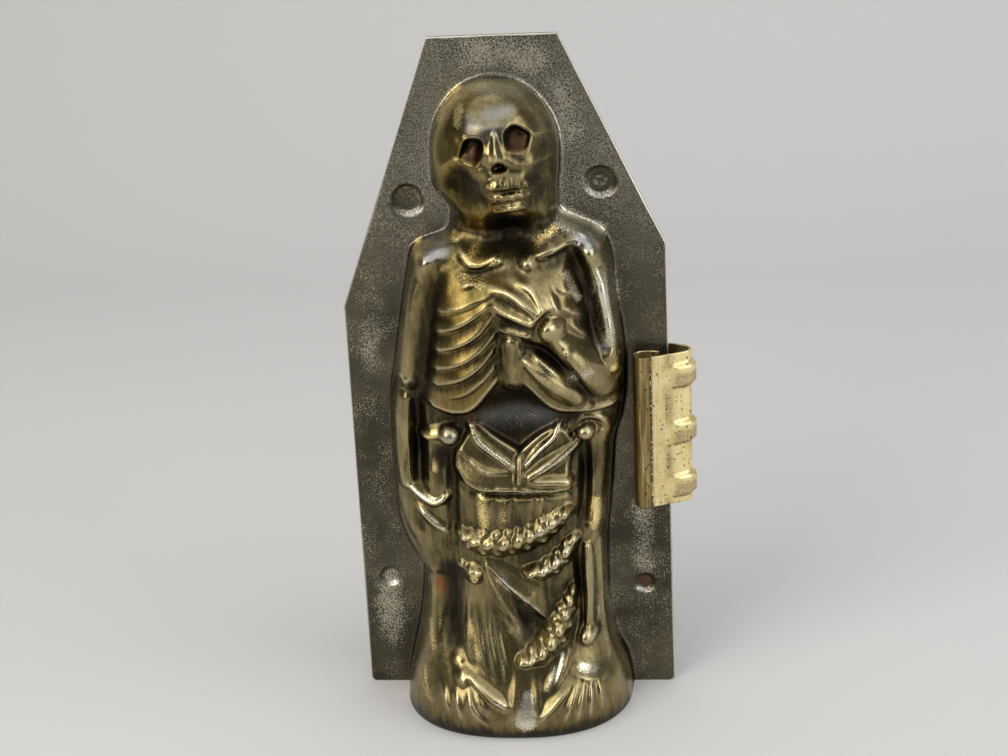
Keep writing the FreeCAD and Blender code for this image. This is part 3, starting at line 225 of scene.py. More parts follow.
arm_bones = [
    ("soft", (5.0, 6.4, 6.2, 5.0), (2.6, 3.4, 3.4, 2.8),
     [(-17.6, 117.0), (-20.0, 108), (-21.6, 98), (-22.8, 88.6)]),
    ("soft", 2.6, 3.2, [(-22.8, 88.2)]),
    ("soft", (3.4, 4.4, 4.2, 3.0), (1.8, 2.6, 2.6, 2.2),
     [(-24.2, 82.4), (-25.0, 76), (-25.2, 69), (-24.6, 62)]),
    ("crest", 1.3, (0.4, 2.2, 2.6), [(-23.4, 75), (-23.6, 69), (-23.9, 62.4)]),
    ("crest", 1.9, (1.6, 2.6, 2.8, 1.6), [(-24.6, 62.2), (-21.4, 60.2), (-17.6, 58.4), (-14.2, 60.2)]),
    ("crest", 2.0, (0.8, 2.2, 2.0, 0.8), [(-22.6, 57.6), (-20.4, 55.2), (-17.6, 52.6), (-15.0, 50.6)]),
    ("soft", 3.0, (0.6, 1.6, 0.4), [(-24.8, 56), (-22.4, 49.6), (-19.6, 43.8)]),
    ("soft", (4.6, 5.6, 5.4, 4.4), (2.8, 3.6, 3.6, 3.0),
     [(21.6, 117.4), (23.8, 108.4), (25.2, 99.4), (26.0, 91.0)]),
    ("soft", 3.2, 3.2, [(26.0, 89.6)]),
    ("soft", (3.2, 4.6, 5.4, 5.0), (2.8, 3.2, 3.3, 2.6),
     [(13.4, 99.6), (17.2, 95.0), (20.8, 90.0), (23.8, 84.8)]),
    ("crest", 1.3, (1.6, 2.8, 2.8, 2.6), [(15.6, 98.6), (18.8, 95.2), (22.0, 92.4), (25.4, 89.8)]),
    ("round", 3.1, 3.3, [(12.3, 102.0)]),
    ("soft", 2.2, 4.0, [(15.5, 97.0)]),
    ("crest", 1.7, (0.7, 1.7, 1.9), [(4.6, 112.9), (8.0, 111.4), (10.4, 107.4)]),
    ("crest", 1.7, (0.8, 1.7, 1.8, 1.6), [(-1.2, 111.6), (2.8, 110.8), (6.3, 108.6), (9.0, 106.6)]),
    ("crest", 1.7, (0.8, 1.8, 1.9), [(-1.2, 108.2), (1.9, 106.3), (7.7, 104.2)]),
    ("crest", 1.6, (0.8, 1.7, 1.5), [(-0.4, 103.8), (1.4, 101.9), (6.6, 101.0)]),
    ("crest", 1.2, 1.8, [(10.4, 107.4), (7.7, 104.2)]),
    ("crest", 1.2, (0.6, 1.5, 1.2), [(9.4, 112.6), (10.8, 110), (12.0, 107.4)]),
    ("crest", 1.2, (0.6, 1.5, 1.2), [(11.0, 112.4), (12.4, 109.4), (13.7, 106.2)]),
]
hip_bones = [
    ("crest", (1.2, 1.7, 1.7, 1.4), (2.2, 3.6, 3.9, 3.4),
     [(-8.0, 77.0), (-6.2, 73.4), (-2.3, 70.3), (1.8, 67.4)]),
    ("crest", (1.2, 1.7, 1.7, 1.4), (2.2, 3.6, 3.9, 3.4),
     [(12.6, 76.6), (11.2, 73.8), (7.8, 71.0), (4.6, 67.6)]),
    ("crest", 1.0, (1.8, 2.6, 3.0), [(-6.4, 77.0), (-2.7, 74.0), (2.7, 70.6)]),
    ("crest", 1.0, (1.8, 2.6, 3.0), [(11.8, 76.0), (7.8, 73.7), (3.5, 70.4)]),
    ("shelf", (2.0, 2.8, 2.4, 1.6), (2.4, 3.2, 3.4, 3.0),
     [(-10.6, 71.6), (-7.8, 68.3), (-4.7, 66.4), (0.6, 66.0)]),
    ("round", (1.5, 1.8, 1.7, 1.2), (2.6, 3.4, 3.5, 3.2),
     [(16.4, 72.0), (12.5, 69.3), (8.6, 67.1), (5.2, 65.4)]),
    ("round", (1.5, 1.4, 1.3, 1.0), (3.2, 3.3, 3.3, 3.0),
     [(14.2, 63.4), (10.8, 64.0), (8.0, 64.2), (5.6, 64.3)]),
    ("shelf", 2.6, (1.8, 2.3, 2.6, 2.4), [(-9.6, 63.9), (-6.0, 62.4), (3.0, 62.2), (14.4, 61.4)]),
    ("soft", 1.8, 3.6, [(3.2, 69.6), (3.1, 64.4)]),
    ("round", 2.7, 3.7, [(-13.2, 74.7)]),
    ("soft", (2.4, 2.6), (1.4, 2.2), [(-19.4, 74.0), (-15.0, 74.9)]),
    ("soft", 2.4, 2.2, [(-19.6, 74.0)]),
    ("soft", (4.0, 5.0, 4.0), (1.0, 1.7, 0.4), [(-17.4, 72), (-17.0, 66), (-17.0, 57)]),
    ("round", 2.5, 4.0, [(18.8, 74.4)]),
    ("soft", 1.9, (1.2, 2.2, 2.2, 1.4), [(15.8, 75.2), (18.6, 78.2), (22.4, 77.4), (24.4, 73.2)]),
    ("soft", (4.6, 4.0, 4.0, 4.8, 3.4), (2.2, 2.3, 2.3, 3.0, 1.2),
     [(22.4, 73), (21.8, 64), (21.4, 57), (21.0, 51.5), (21.3, 47.6)]),
]
hip_plate = [
    (-7.4, 77.8), (-2.7, 74.3), (3.0, 70.9), (7.8, 74.0), (12.4, 77.2), (15.0, 75.6), (17.2, 72.2),
    (15.6, 67.0), (15.4, 61.3), (3.0, 61.7), (-6.4, 61.7), (-10.2, 63.6), (-13.2, 67.2), (-12.4, 71.5),
    (-9.6, 75.6)]
hip_plate_rise = 1.9
hip_plate_edge = 1.4
leg_bones = [
    ("shelf", (2.6, 5.0, 5.4, 3.0), (1.4, 3.0, 3.2, 0.6),
     [(-5.8, 43.0), (-0.2, 37.0), (3.2, 33.2), (7.6, 28.2)]),
    ("crest", 1.2, (1.8, 1.2, 0.9, 0.0), [(-5.8, 42.6), (-4.8, 38), (-1.8, 31), (1.6, 24.6)]),
    ("soft", 3.6, 2.2, [(-8.8, 40.0)]),
    ("soft", 2.0, 1.4, [(-11.8, 41.8)]),
    ("round", 1.2, 2.8, [(-9.6, 40.9)]),
    ("round", 1.1, 2.7, [(-7.6, 40.6)]),
    ("round", 1.2, 2.7, [(-8.7, 38.6)]),
    ("soft", 1.3, (0.0, 1.1, 1.0, 0.0), [(-10.4, 36), (-10.6, 28), (-10.8, 22), (-9.6, 17)]),
    ("soft", 1.2, (0.0, 0.9, 1.1, 0.0), [(-8.6, 34), (-8.4, 27), (-7.6, 21), (-6.0, 15)]),
    ("soft", 1.3, (0.0, 1.1, 1.0, 0.0), [(-6.6, 35), (-6.2, 26), (-5.2, 20), (-3.6, 13)]),
    ("soft", 1.1, (0.0, 0.9, 0.8, 0.0), [(-4.2, 30), (-3.6, 24), (-2.6, 19), (-1.2, 13)]),
    ("soft", 2.6, (0.2, 1.4, 1.3, 0.2), [(-18.8, 44), (-19.4, 33), (-20.4, 22), (-23.6, 10)]),
    ("round", (1.2, 1.7, 1.6, 1.3), (1.4, 2.2, 2.2, 1.6),
     [(18.6, 45), (18.7, 38), (18.7, 31), (18.5, 24.6)]),
    ("soft", (1.6, 1.7, 1.5, 1.3), (1.2, 1.9, 1.7, 0.2),
     [(21.6, 45), (22.0, 36), (22.8, 23), (25.8, 11)]),
    ("round", 2.5, 3.4, [(18.4, 22.2)]),
    ("soft", 1.2, (0.0, 1.0, 0.9, 0.0), [(15.8, 40), (16.2, 31), (15.2, 24), (13.4, 17)]),
    ("soft", 1.3, (0.0, 1.1, 0.9, 0.0), [(13.8, 22), (12.2, 17), (10.0, 13), (7.6, 9.6)]),
    ("soft", 1.2, (0.0, 0.9, 0.0), [(10.8, 18), (8.8, 13.6), (6.4, 9.6)]),
    ("soft", 1.6, (0.0, 0.6, 0.6, 0.0), [(0.9, 17), (0.4, 12), (-0.2, 7), (-0.8, 1.5)]),
    ("soft", 1.6, (0.0, 0.6, 0.6, 0.0), [(5.4, 17), (5.7, 12), (6.0, 7), (6.4, 1.5)]),
]
foot_bones = [
    ("soft", 2.4, 0.9, [(-13.8, 17.9)]),
    ("soft", 2.8, 1.4, [(-12.5, 14.8)]),
    ("round", (0.7, 1.0, 1.3, 0.8), (1.2, 1.5, 1.8, 0.9),
     [(-10.8, 15.2), (-7.6, 12.8), (-4.4, 10.4), (-2.0, 8.6)]),
    ("crest", 1.0, (0.2, 1.2, 1.0, 0.2), [(-17.4, 11.8), (-17.0, 9.6), (-16.4, 7.4), (-15.8, 5.4)]),
    ("crest", 1.0, (0.2, 1.3, 1.2, 0.2), [(-14.2, 12.2), (-13.8, 9.6), (-13.2, 6.8), (-12.8, 4.6)]),
    ("crest", 1.0, (0.2, 1.3, 1.3, 0.4), [(-11.0, 12.4), (-10.4, 9.4), (-9.0, 6.6), (-6.6, 4.2)]),
    ("crest", 0.9, (0.2, 1.0, 0.2), [(-9.0, 12.0), (-8.2, 9.6), (-6.8, 7.6)]),
    ("shelf", (2.0, 2.8, 2.0), (0.8, 1.4, 0.8), [(14.8, 14.2), (17.6, 13.0), (20.8, 11.8)]),
    ("shelf", (1.6, 2.6, 2.4, 1.4), (1.4, 1.8, 1.6, 0.6),
     [(6.4, 5.4), (8.6, 7.4), (11.2, 10.0), (14.4, 13.4)]),
    ("crest", 0.9, (1.4, 1.3, 1.2, 0.2), [(15.4, 13.0), (14.2, 9.8), (13.0, 6.8), (12.0, 4.2)]),
    ("crest", 0.9, (1.4, 1.3, 1.2, 0.2), [(16.8, 12.2), (16.2, 9.4), (15.6, 6.4), (15.2, 3.8)]),
    ("crest", 0.9, (1.4, 1.3, 1.2, 0.2), [(18.6, 11.6), (18.6, 9.0), (18.4, 6.2), (18.2, 3.8)]),
    ("crest", 0.9, (1.2, 1.2, 1.0, 0.2), [(20.6, 11.0), (21.0, 8.6), (21.2, 6.2), (21.0, 4.0)]),
]
# Beaded rope round the legs: (half widths along the run, points)
rope_runs = [
    ((1.8, 3.3, 3.7, 3.6, 2.0), [(-11.5, 50.8), (-7.2, 48.6), (-1.2, 48.2), (6.4, 50.6), (13.8, 55.4)]),
    ((1.6, 2.6, 2.5, 1.8), [(4.0, 40.6), (8.0, 40.9), (12.0, 43.4), (15.2, 47.6)]),
    ((0.5, 2.6, 3.4, 3.0, 1.0), [(15.0, 36.0), (13.2, 30.0), (10.0, 24.0), (6.0, 20.0), (1.6, 18.4)]),
]
rope_rise = 2.5
rope_spread = 1.2
rope_steps = 24
bead_pitch = 3.3
bead_least_share = 0.5
bead_wander = 0.12
bead_rise_change = 0.25
bead_size_change = 0.15
bead_turns = (5, 7)
# Rows of beads: (places across the run from and to, start along it and slant in pitches, size, rise)
bead_rows = [
    (-0.06, 0.16, 0.3, 0.08, 1.5, 1.0),
    (-0.68, -0.52, 0.8, -0.06, 1.0, 0.6),
    (0.60, 0.74, 0.75, 0.05, 0.85, 0.6)]
cuts = [
    ("soft", (3.2, 4.4, 4.4, 3.8), (0.6, 2.4, 2.4, 1.6),
     [(-14.0, 115), (-16.6, 106), (-18.0, 95), (-19.6, 84)]),
    ("soft", (3.2, 4.8, 4.2, 2.6), (1.4, 3.4, 3.2, 1.4),
     [(17.0, 116.4), (19.6, 109), (21.6, 101.6), (23.6, 95.4)]),
    ("soft", 1.5, (0.6, 1.6, 1.4, 0.6), [(15.0, 94.0), (16.8, 90.4), (18.6, 86.2), (19.8, 81.8)]),
    ("soft", (2.6, 3.0, 2.6), (1.6, 2.6, 1.4), [(-20.6, 82), (-20.8, 72), (-20.4, 62)]),
    ("soft", (1.6, 2.2, 1.6), (0.5, 1.2, 0.5), [(-8, 114.2), (-3.6, 114), (1.4, 114.6)]),
    ("soft", 1.8, (0.4, 1.0, 0.6), [(9.6, 115.4), (13.2, 116.2), (16.6, 117.8)]),
    ("soft", 1.1, (0.6, 1.4, 1.4, 0.8), [(-8, 61.6), (-3, 60.8), (4, 60.7), (14.4, 60.0)]),
    ("soft", 2.0, (0.6, 2.0, 1.6, 0.6), [(16.4, 47), (16.4, 40), (16.6, 32), (16.4, 26)]),
    ("soft", 2.2, (0.6, 2.0, 1.6, 0.6), [(18.2, 71), (18.4, 64), (18.0, 57), (17.4, 50)]),
    ("soft", 2.2, (0.3, 1.3, 1.5, 0.8), [(-13.2, 70), (-12.8, 64), (-13.0, 56), (-13.0, 48)]),
    ("soft", 1.8, (0.8, 2.2, 1.8, 0.6), [(5.6, 98.2), (9.4, 97.2), (13.4, 93.6), (17.0, 89.6)]),
    ("soft", 1.3, (0.8, 1.4, 0.8), [(8.6, 101.0), (9.2, 104.0), (11.2, 106.2)]),
    ("soft", 1.0, (0.6, 1.2, 1.2, 0.6), [(-0.6, 133.4), (2.6, 133.9), (5.6, 134.1), (8.6, 133.7)]),
    ("soft", 1.0, (0.4, 0.9, 0.9, 0.4), [(-0.2, 130.2), (2.6, 130.8), (5.6, 131.2), (8.4, 130.8)]),
    ("soft", 0.9, (0.2, 0.8, 0.2), [(3.6, 141.9), (6.2, 140.7), (8.2, 140.2)]),
    ("soft", 0.8, (0.0, 0.9, 0.9, 0.0), [(-7.2, 64), (-7.2, 58), (-7.3, 55), (-7.4, 51)]),
    ("soft", 0.8, (0.0, 0.9, 0.9, 0.0), [(-2.8, 64), (-2.9, 58), (-3.0, 55), (-3.0, 51)]),
    ("soft", 0.8, (0.0, 0.9, 0.9, 0.0), [(1.4, 64), (1.4, 58), (1.4, 55), (1.4, 52)]),
    ("soft", 0.8, (0.0, 0.8, 0.8, 0.0), [(6.4, 64), (6.5, 58.6), (6.6, 56), (6.6, 53)]),
    ("soft", 0.8, (0.0, 0.8, 0.8, 0.0), [(8.8, 64), (8.8, 58.6), (9.0, 56), (9.2, 54)]),
]

# Forms guessed for the back half: spine, shoulder blades, ribs, hips and a shroud in folds
back_swells = [
    ("soft", 9.0, 2.0, [(-10.5, 111), (-8.5, 97)]),
    ("soft", 9.0, 2.0, [(10.5, 111), (8.5, 97)]),
    ("soft", 6.0, -2.6, [(-17, 112), (-19, 74)]),
    ("soft", 6.0, -2.6, [(17.4, 112), (20, 74)]),
]
back_bones = [
    ("round", 2.2, 2.0, [(0, 121), (0, 66)]),
    ("round", 2.2, 1.7, [(-18, 67), (-9, 64.5), (0, 62.5), (9, 64.5), (18, 67)]),
    ("crest", 2.4, 1.4, [(-5, 114), (-13, 108), (-9.5, 95)]),
    ("crest", 2.4, 1.4, [(5, 114), (13, 108), (9.5, 95)]),
]
vertebra_count = 12
vertebra_pitch = 4.4
vertebra_top = 119
vertebra_section = ("round", 2.6, 2.6)
back_rib_count = 5
back_rib_pitch = 4.2
back_rib_top = 92
back_rib_section = ("crest", 2.4, 1.3)
back_rib_line = [(2.6, 0), (9, -0.6), (16, -3.4)]
back_fold_count = 7
back_fold_section = ("soft", 2.6, 1.4)
back_fold_line = [(15, 58), (16.5, 34), (20, 8)]

# Wear, rust, painted highlights, painted reflections, painted light and painted shade on the front half as
# soft strokes: (half width, strength, line of points (x, z)).
# Weak strokes of gold, silver and khaki come out as scattered specks, strong ones as patches.
# Gold strokes: gold wear, and painted highlights and glints on the left temple, the shoulders, the elbows and
# other lit places
gold_wear_and_highlight_strokes = [
    (2.2, 1.0, [(-6.6, 151.1), (-7.1, 148.5)]), (1.0, 1.0, [(-5.2, 146.0)]),
    (1.2, 0.9, [(-7.6, 141.2)]), (2.6, 0.7, [(-11.8, 148.6), (-10.7, 151.0), (-8.1, 153.4)]),
    (0.9, 0.9, [(0.0, 143.1), (0.4, 141.3)]), (1.1, 0.9, [(-0.4, 135.4), (0.9, 135.9)]),
    (2.4, 0.4, [(11.4, 137.7), (10.8, 134.0)]), (2.2, 1.0, [(-9.6, 121.4)]),
    (2.2, 1.0, [(-19.1, 117.8)]), (1.8, 0.7, [(23.9, 118.9)]),
    (1.7, 1.0, [(-7.2, 117.9), (-3.9, 116.5), (-1.1, 116.7)]), (2.6, 0.7, [(-4.8, 119.2)]),
    (2.2, 0.8, [(9.2, 120.3), (13.2, 123.0)]), (2.8, 0.6, [(-8.1, 113.9), (-3.8, 112.6)]),
    (1.8, 1.0, [(25.9, 90.0), (26.6, 87.0)]), (1.3, 1.0, [(-23.9, 89.0)]),
    (1.4, 0.6, [(8.5, 92.8), (14.3, 87.3)]), (1.5, 1.0, [(-18.7, 74.1), (-16.2, 75.4)]),
    (2.4, 0.9, [(20.6, 56.5), (20.4, 50.1)]), (2.6, 0.75, [(-6.0, 60.1), (-5.9, 53.3)]),
    (2.2, 0.5, [(-0.9, 60.3), (-0.9, 54.6)]), (2.4, 0.5, [(-10.7, 51.0), (-7.8, 49.8), (-3.8, 49.0)]),
    (2.8, 0.7, [(-8.5, 39.8)]), (2.0, 0.65, [(-20.7, 25.0), (-20.0, 19.1)]),
    (2.2, 0.75, [(-10.5, 25.8), (-8.8, 19.2)]), (2.6, 0.5, [(-1.0, 25.0)]), (1.7, 1.0, [(-13.7, 17.6)]),
    (2.0, 0.9, [(-12.5, 14.7)]), (2.6, 0.5, [(-24.7, 11.4), (-20.9, 6.8)]),
    (0.9, (0.2, 0.9, 0.8, 0.2), [(-10.5, 31.2), (-10.3, 25.9), (-9.7, 20.8), (-7.9, 17.7)]),
    (0.9, (0.2, 0.8, 0.2), [(-7.7, 27.9), (-7.4, 22.7), (-6.1, 19.4)]),
    (0.9, (0.3, 0.8, 0.2), [(-22.5, 15.4), (-22.4, 10.8), (-20.4, 6.2)]),
    (0.8, (0.2, 0.7, 0.2), [(-18.4, 31.1), (-18.2, 24.9), (-19.0, 20.4)]),
    (1.1, (0.3, 1.0, 0.4), [(5.4, 68.6), (6.8, 70.4), (8.6, 72.6)])]
# Silver strokes: pale tin showing through, and painted highlights on lit ridges, the hip creases and the
# right arm
silver_wear_and_highlight_strokes = [
    (3.2, 0.9, [(14.6, 124.2), (18.2, 122.7), (23.2, 120.0)]),
    (1.5, 0.8, [(15.4, 113.5), (18.1, 107.2)]),
    (4.4, (0.3, 0.8, 0.8, 0.3), [(22.8, 117.0), (23.6, 110.0), (24.6, 102.0), (25.8, 93.0)]),
    (2.6, (0.3, 0.9, 0.9, 0.3), [(24.4, 117.0), (25.0, 109.0), (25.6, 102.0), (26.6, 94.0)]),
    (2.6, 0.55, [(15.8, 89.2), (20.2, 91.2)]), (1.5, 0.75, [(15.6, 70.6), (7.8, 66.4)]),
    (1.1, 0.8, [(-23.9, 61.9), (-19.3, 59.5), (-15.2, 59.4)]),
    (0.9, 0.8, [(-20.9, 55.9), (-15.7, 51.5)]), (2.6, 0.9, [(-2.3, 38.3), (1.3, 34.4), (5.4, 30.3)]),
    (2.0, 0.7, [(18.9, 22.2)]), (1.8, 0.8, [(16.1, 15.6), (19.6, 13.8)]),
    ((2.4, 4.2), 1.0, [(3.3, 10.8), (2.9, 5.2)]), (1.0, 0.8, [(-3.9, 10.0), (-2.3, 9.1)]),
    (0.8, (0.2, 0.7, 0.2), [(-5.4, 29.0), (-4.6, 22.8), (-3.8, 17.1)]),
    (0.8, (0.2, 0.7, 0.1), [(-3.3, 22.9), (-2.5, 17.1), (-2.3, 10.8)]),
    (0.8, 0.8, [(10.0, 16.5), (8.2, 12.1)]),
    (1.0, (0.3, 0.7, 0.7, 0.5, 0.1), [(22.1, 37.6), (22.5, 27.6), (23.6, 19.1), (25.2, 13.8), (27.6, 8.0)]),
    (0.8, 0.8, [(11.8, 19.4), (10.4, 14.1)]),
    (0.9, (0.2, 0.6, 0.6, 0.5, 0.0), [(20.0, 40.6), (20.2, 30.6), (21.1, 23.3), (22.7, 15.6), (23.1, 10.2)]),
    (1.1, (0.4, 0.9, 0.9, 0.6), [(-7.7, 76.4), (-6.2, 73.4), (-2.3, 70.3), (1.6, 67.6)]),
    (1.1, (0.4, 0.8, 0.8, 0.5), [(12.4, 76.2), (11.2, 73.8), (7.8, 71.0), (4.8, 67.8)]),
    (3.2, (0.2, 0.6, 0.6, 0.3), [(1.8, 48.8), (6.4, 50.6), (10.2, 53.0), (13.8, 55.4)]),
    (2.6, (0.3, 0.6, 0.6, 0.3), [(4.0, 40.6), (8.0, 40.9), (12.0, 43.4), (15.2, 47.6)]),
    (5.4, (0.2, 0.34, 0.2), [(-3.0, 79.0), (3.0, 77.2), (9.0, 79.0)])]
khaki_strokes = [
    (10.0, 0.62, [(-4.0, 160.5), (9.0, 159.5)]), (7.0, 0.6, [(13.4, 154.0), (17.6, 142.0)]),
    (7.0, 0.6, [(32.0, 50.0), (32.0, 34.0)]), (8.0, 0.6, [(-33.0, 30.0), (-33.0, 14.0)]),
    (6.0, 0.5, [(-30.0, 104.0), (-33.0, 88.0)]),
    (4.0, 0.55, [(-3.0, 154.6), (4.0, 154.8), (9.6, 151.6)])]
# Painted bluish reflections of the sky on the forehead, shoulders, elbows, a hip ball and the belly
painted_reflection_strokes = [
    (2.6, 0.9, [(-15.3, 118.1), (-12.6, 119.0)]), (2.2, 0.9, [(18.6, 120.3), (21.2, 119.4)]),
    (1.3, 0.9, [(-21.4, 88.1)]), (1.6, 0.8, [(23.5, 95.4)]),
    (2.0, 0.5, [(-0.4, 150.4), (2.4, 150.6), (4.4, 150.8)]), (4.0, 0.3, [(-3.5, 148.4), (0.9, 147.8)]),
    (2.6, 0.5, [(-13.0, 74.9)]), (5.0, 0.2, [(-3.0, 79.0), (9.0, 79.0)])]
# Painted yellowish light on the left of the skull and chest, the sides that face the lamp on the left
painted_warm_light_strokes = [
    (12.0, 1.0, [(-11.0, 150), (-10.4, 140), (-8.0, 128)]), (14.0, 1.0, [(-8, 110), (-9, 88)])]
orange_strokes = [((1.0, 2.0, 0.9), (0.2, 0.8, 0.1), [(-18.2, 37.6), (-17.8, 35.0), (-17.5, 30.6)])]
red_strokes = [
    (3.2, 0.8, [(-3.6, 141.4)]), (3.2, 0.9, [(6.0, 143.4)]), (3.4, 1.0, [(32.1, 27.9)]),
    (1.6, (0.2, 0.5, 0.2), [(-18.4, 65.0), (-18.2, 62.8), (-17.6, 61.0)])]
dull_strokes = [
    (2.6, 1.0, [(-0.6, 135.4), (8.6, 135.2)]), (2.0, 0.8, [(0.4, 132.0), (8.6, 132.6)]),
    (1.6, 0.8, [(-8.0, 59.8), (3.0, 59.4), (14.4, 58.8)]), (2.2, 0.9, [(3.2, 69.6), (3.1, 64.4)]),
    (1.6, 0.7, [(-6.4, 61.7), (-10.2, 63.6), (-13.2, 67.2), (-12.4, 71.5), (-9.6, 75.6)]),
    (1.4, 0.6, [(15.6, 67.0), (15.4, 61.3)])]
# Painted shade in hollows, grooves and valleys, and painted light on parts that stand lit, such as the crown,
# the neck, the left temple, the right arm and the legs: here the strength is added to the lift, in mm
painted_shade_and_light_strokes = [
    (6.4, -1.6, [(-8.4, 137.4), (-6.0, 136.6), (-4.6, 134.0)]),
    (1.2, -1.4, [(4.0, 142.2), (7.6, 139.8)]), (2.6, -1.0, [(10.9, 143.0), (11.6, 140.1)]),
    (2.8, -1.2, [(-8.3, 147.2), (-7.8, 144.5)]),
    (5.0, 1.6, [(-6.0, 122.6), (0.0, 121.0), (7.0, 121.2)]), (3.4, -3.0, [(-13.2, 75.1)]),
    (3.4, -2.4, [(18.8, 74.4)]), (3.2, -2.0, [(-15.3, 69.8), (-14.8, 63.6)]),
    (3.6, -1.8, [(22.1, 69.3), (21.1, 58.9)]),
    (3.4, -1.8, [(-14.2, 40.0), (-14.2, 30.3), (-14.2, 22.0)]),
    (9.0, -0.3, [(-9.0, 109.0), (-9.4, 90.0)]), (1.9, -2.0, [(1.0, 109.4), (6.6, 106.2)]),
    (1.6, -1.8, [(3.6, 111.2), (8.6, 108.4)]), (1.6, -1.8, [(1.4, 104.0), (7.0, 102.6)]),
    (2.6, -1.6, [(3.2, 69.6), (3.1, 64.4)]),
    (3.6, (0.4, 2.2, 2.2, 0.4), [(24.6, 118.0), (25.6, 110.0), (26.2, 102.0), (27.4, 93.0)]),
    (6.0, 2.2, [(-12.4, 149.0), (-11.8, 140.0)]), (3.4, -1.2, [(-4.6, 147.8), (-2.4, 147.6)]),
    (3.2, 3.0, [(-12.0, 149.5), (-7.0, 154.0), (0.0, 155.6), (7.0, 154.2), (12.0, 149.6)]),
    (9.0, -1.2, [(-3.0, 148.6), (1.0, 148.8), (6.0, 150.0)]), (2.6, -2.2, [(0.0, 135.6), (8.4, 135.4)]),
    (14.0, 1.0, [(-5.0, 40.0), (-4.0, 12.0)]), (7.0, 1.0, [(21.0, 46.0), (22.0, 14.0)]),
    (1.5, -1.8, [(-13.6, 104.2), (-9.0, 104.9), (-4.6, 107.0)]),
    (1.5, -1.8, [(-14.7, 99.9), (-10.0, 100.7), (-5.5, 103.4)]),
    (1.5, -1.8, [(-15.7, 95.4), (-10.2, 96.5), (-4.2, 99.5)]),
    (1.5, -1.8, [(-16.0, 91.1), (-10.5, 92.3), (-4.5, 95.3)]),
    (1.5, -1.6, [(-16.0, 86.9), (-10.8, 88.0), (-4.7, 91.4)])]
# The back half's wear, painted shade and painted light
back_gold_strokes = [
    (3.4, 0.7, [(-13.0, 108.0), (-10.0, 98.0)]), (3.4, 0.7, [(13.0, 108.0)]),
    (2.6, 0.7, [(-18.0, 67.0)]), (2.6, 0.7, [(18.0, 67.0), (14.0, 66.0)]),
    (4.0, 0.6, [(-9.0, 149.0), (-4.0, 152.0)]), (3.0, 0.6, [(1.0, 44.0), (1.6, 22.0)]),
    (2.6, 0.6, [(-16.0, 24.0), (-18.0, 10.0)])]
back_silver_strokes = [
    (1.6, 0.5, [(0.0, 119.0), (0.0, 70.0)]), (4.0, 0.6, [(6.0, 144.0), (10.0, 149.0)]),
    (3.0, (0.3, 0.7, 0.3), [(-20.6, 106.0), (-22.0, 98.0), (-23.0, 88.0)]),
    (3.0, 0.65, [(16.0, 32.0), (18.6, 12.0)])]
back_khaki_strokes = [
    (8.0, 0.6, [(-30.0, 110.0), (-34.0, 90.0)]), (8.0, 0.6, [(31.0, 44.0), (33.0, 22.0)]),
    (10.0, 0.6, [(-5.0, 160.5), (6.0, 160.0)])]
back_red_strokes = [(3.0, 0.8, [(12.0, 84.0)]), (2.4, 0.8, [(-6.0, 60.0)])]
# Painted shade in the back's valleys and under its pelvis and neck, and painted light on its legs: strengths
# added to the lift, in mm
back_painted_shade_and_light_strokes = [
    (5.0, -1.8, [(-17.6, 112.0), (-19.0, 78.0)]), (5.0, -1.8, [(18.0, 112.0), (20.0, 78.0)]),
    (3.6, -1.6, [(-10.0, 60.6), (0.0, 58.6), (10.0, 60.6)]), (6.0, -1.4, [(-8.0, 122.5), (8.0, 122.5)]),
    (10.0, 1.0, [(-8.0, 40.0), (-9.0, 14.0)]), (10.0, 0.8, [(9.0, 40.0), (10.0, 14.0)])]

# What the finish is told about a sheet: rounds of smoothing for the inner face, lift and crest, then
# the heights in mm over which the figure, the painted glint along its rim and its darkened foot set in,
# then the shine taken off dull crests and how fully the back's bosses are kept out of the figure
inner_rounds = 2
lift_rounds = 360
crest_rounds = 10
figure_start = 0.06
figure_run = 0.3
rim_level = 0.25
rim_spread = 0.22
rim_low = 100
rim_run = 40
foot_top = 6.5
foot_run = 6.0
socket_rim_dulled = 1.6
dulling = 0.3
boss_masking = 1.0


def smooth_values(table, places):
    """Smooth curve through (place, value) rows that never overshoots.

    Each piece is a cubic, and the slope at a row is the harmonic mean of the slopes beside it.
    """
    x, y = np.array(table).T
    step = np.diff(x)
    rise = np.diff(y) / step
    slope = np.concatenate([rise[:1], np.zeros(len(x) - 2), rise[-1:]])
    keep = np.flatnonzero(rise[:-1] * rise[1:] > 0)
    slope[keep + 1] = 2 * rise[keep] * rise[keep + 1] / (rise[keep] + rise[keep + 1])
    place = np.clip(places, x[0], x[-1])
    i = np.clip(np.searchsorted(x, place, side="right") - 1, 0, len(step) - 1)
    t = (place - x[i]) / step[i]
    return (y[i] * (1 + 2 * t) * (1 - t) ** 2 + y[i + 1] * t * t * (3 - 2 * t)
            + step[i] * t * (1 - t) * (slope[i] * (1 - t) - slope[i + 1] * t))


def smooth_step(t):
    """Runs from 0 to 1 as t does, level at both ends: 3 t^2 - 2 t^3."""
    t = np.clip(t, 0, 1)
    return t * t * (3 - 2 * t)


def crowded(count):
    """Places from -1 to 1 that crowd towards both ends: a mix of t and sin(t pi / 2)."""
    t = np.linspace(-1, 1, count + 1)
    return (1 - crowding) * t + crowding * np.sin(t * np.pi / 2)


def outline_edges(z):
    """Left and right edges of the figure at heights up to its cheeks."""
    share = z / figure_height
    return (-figure_half_width * smooth_values(left_outline, share),
            figure_half_width * smooth_values(right_outline, share))


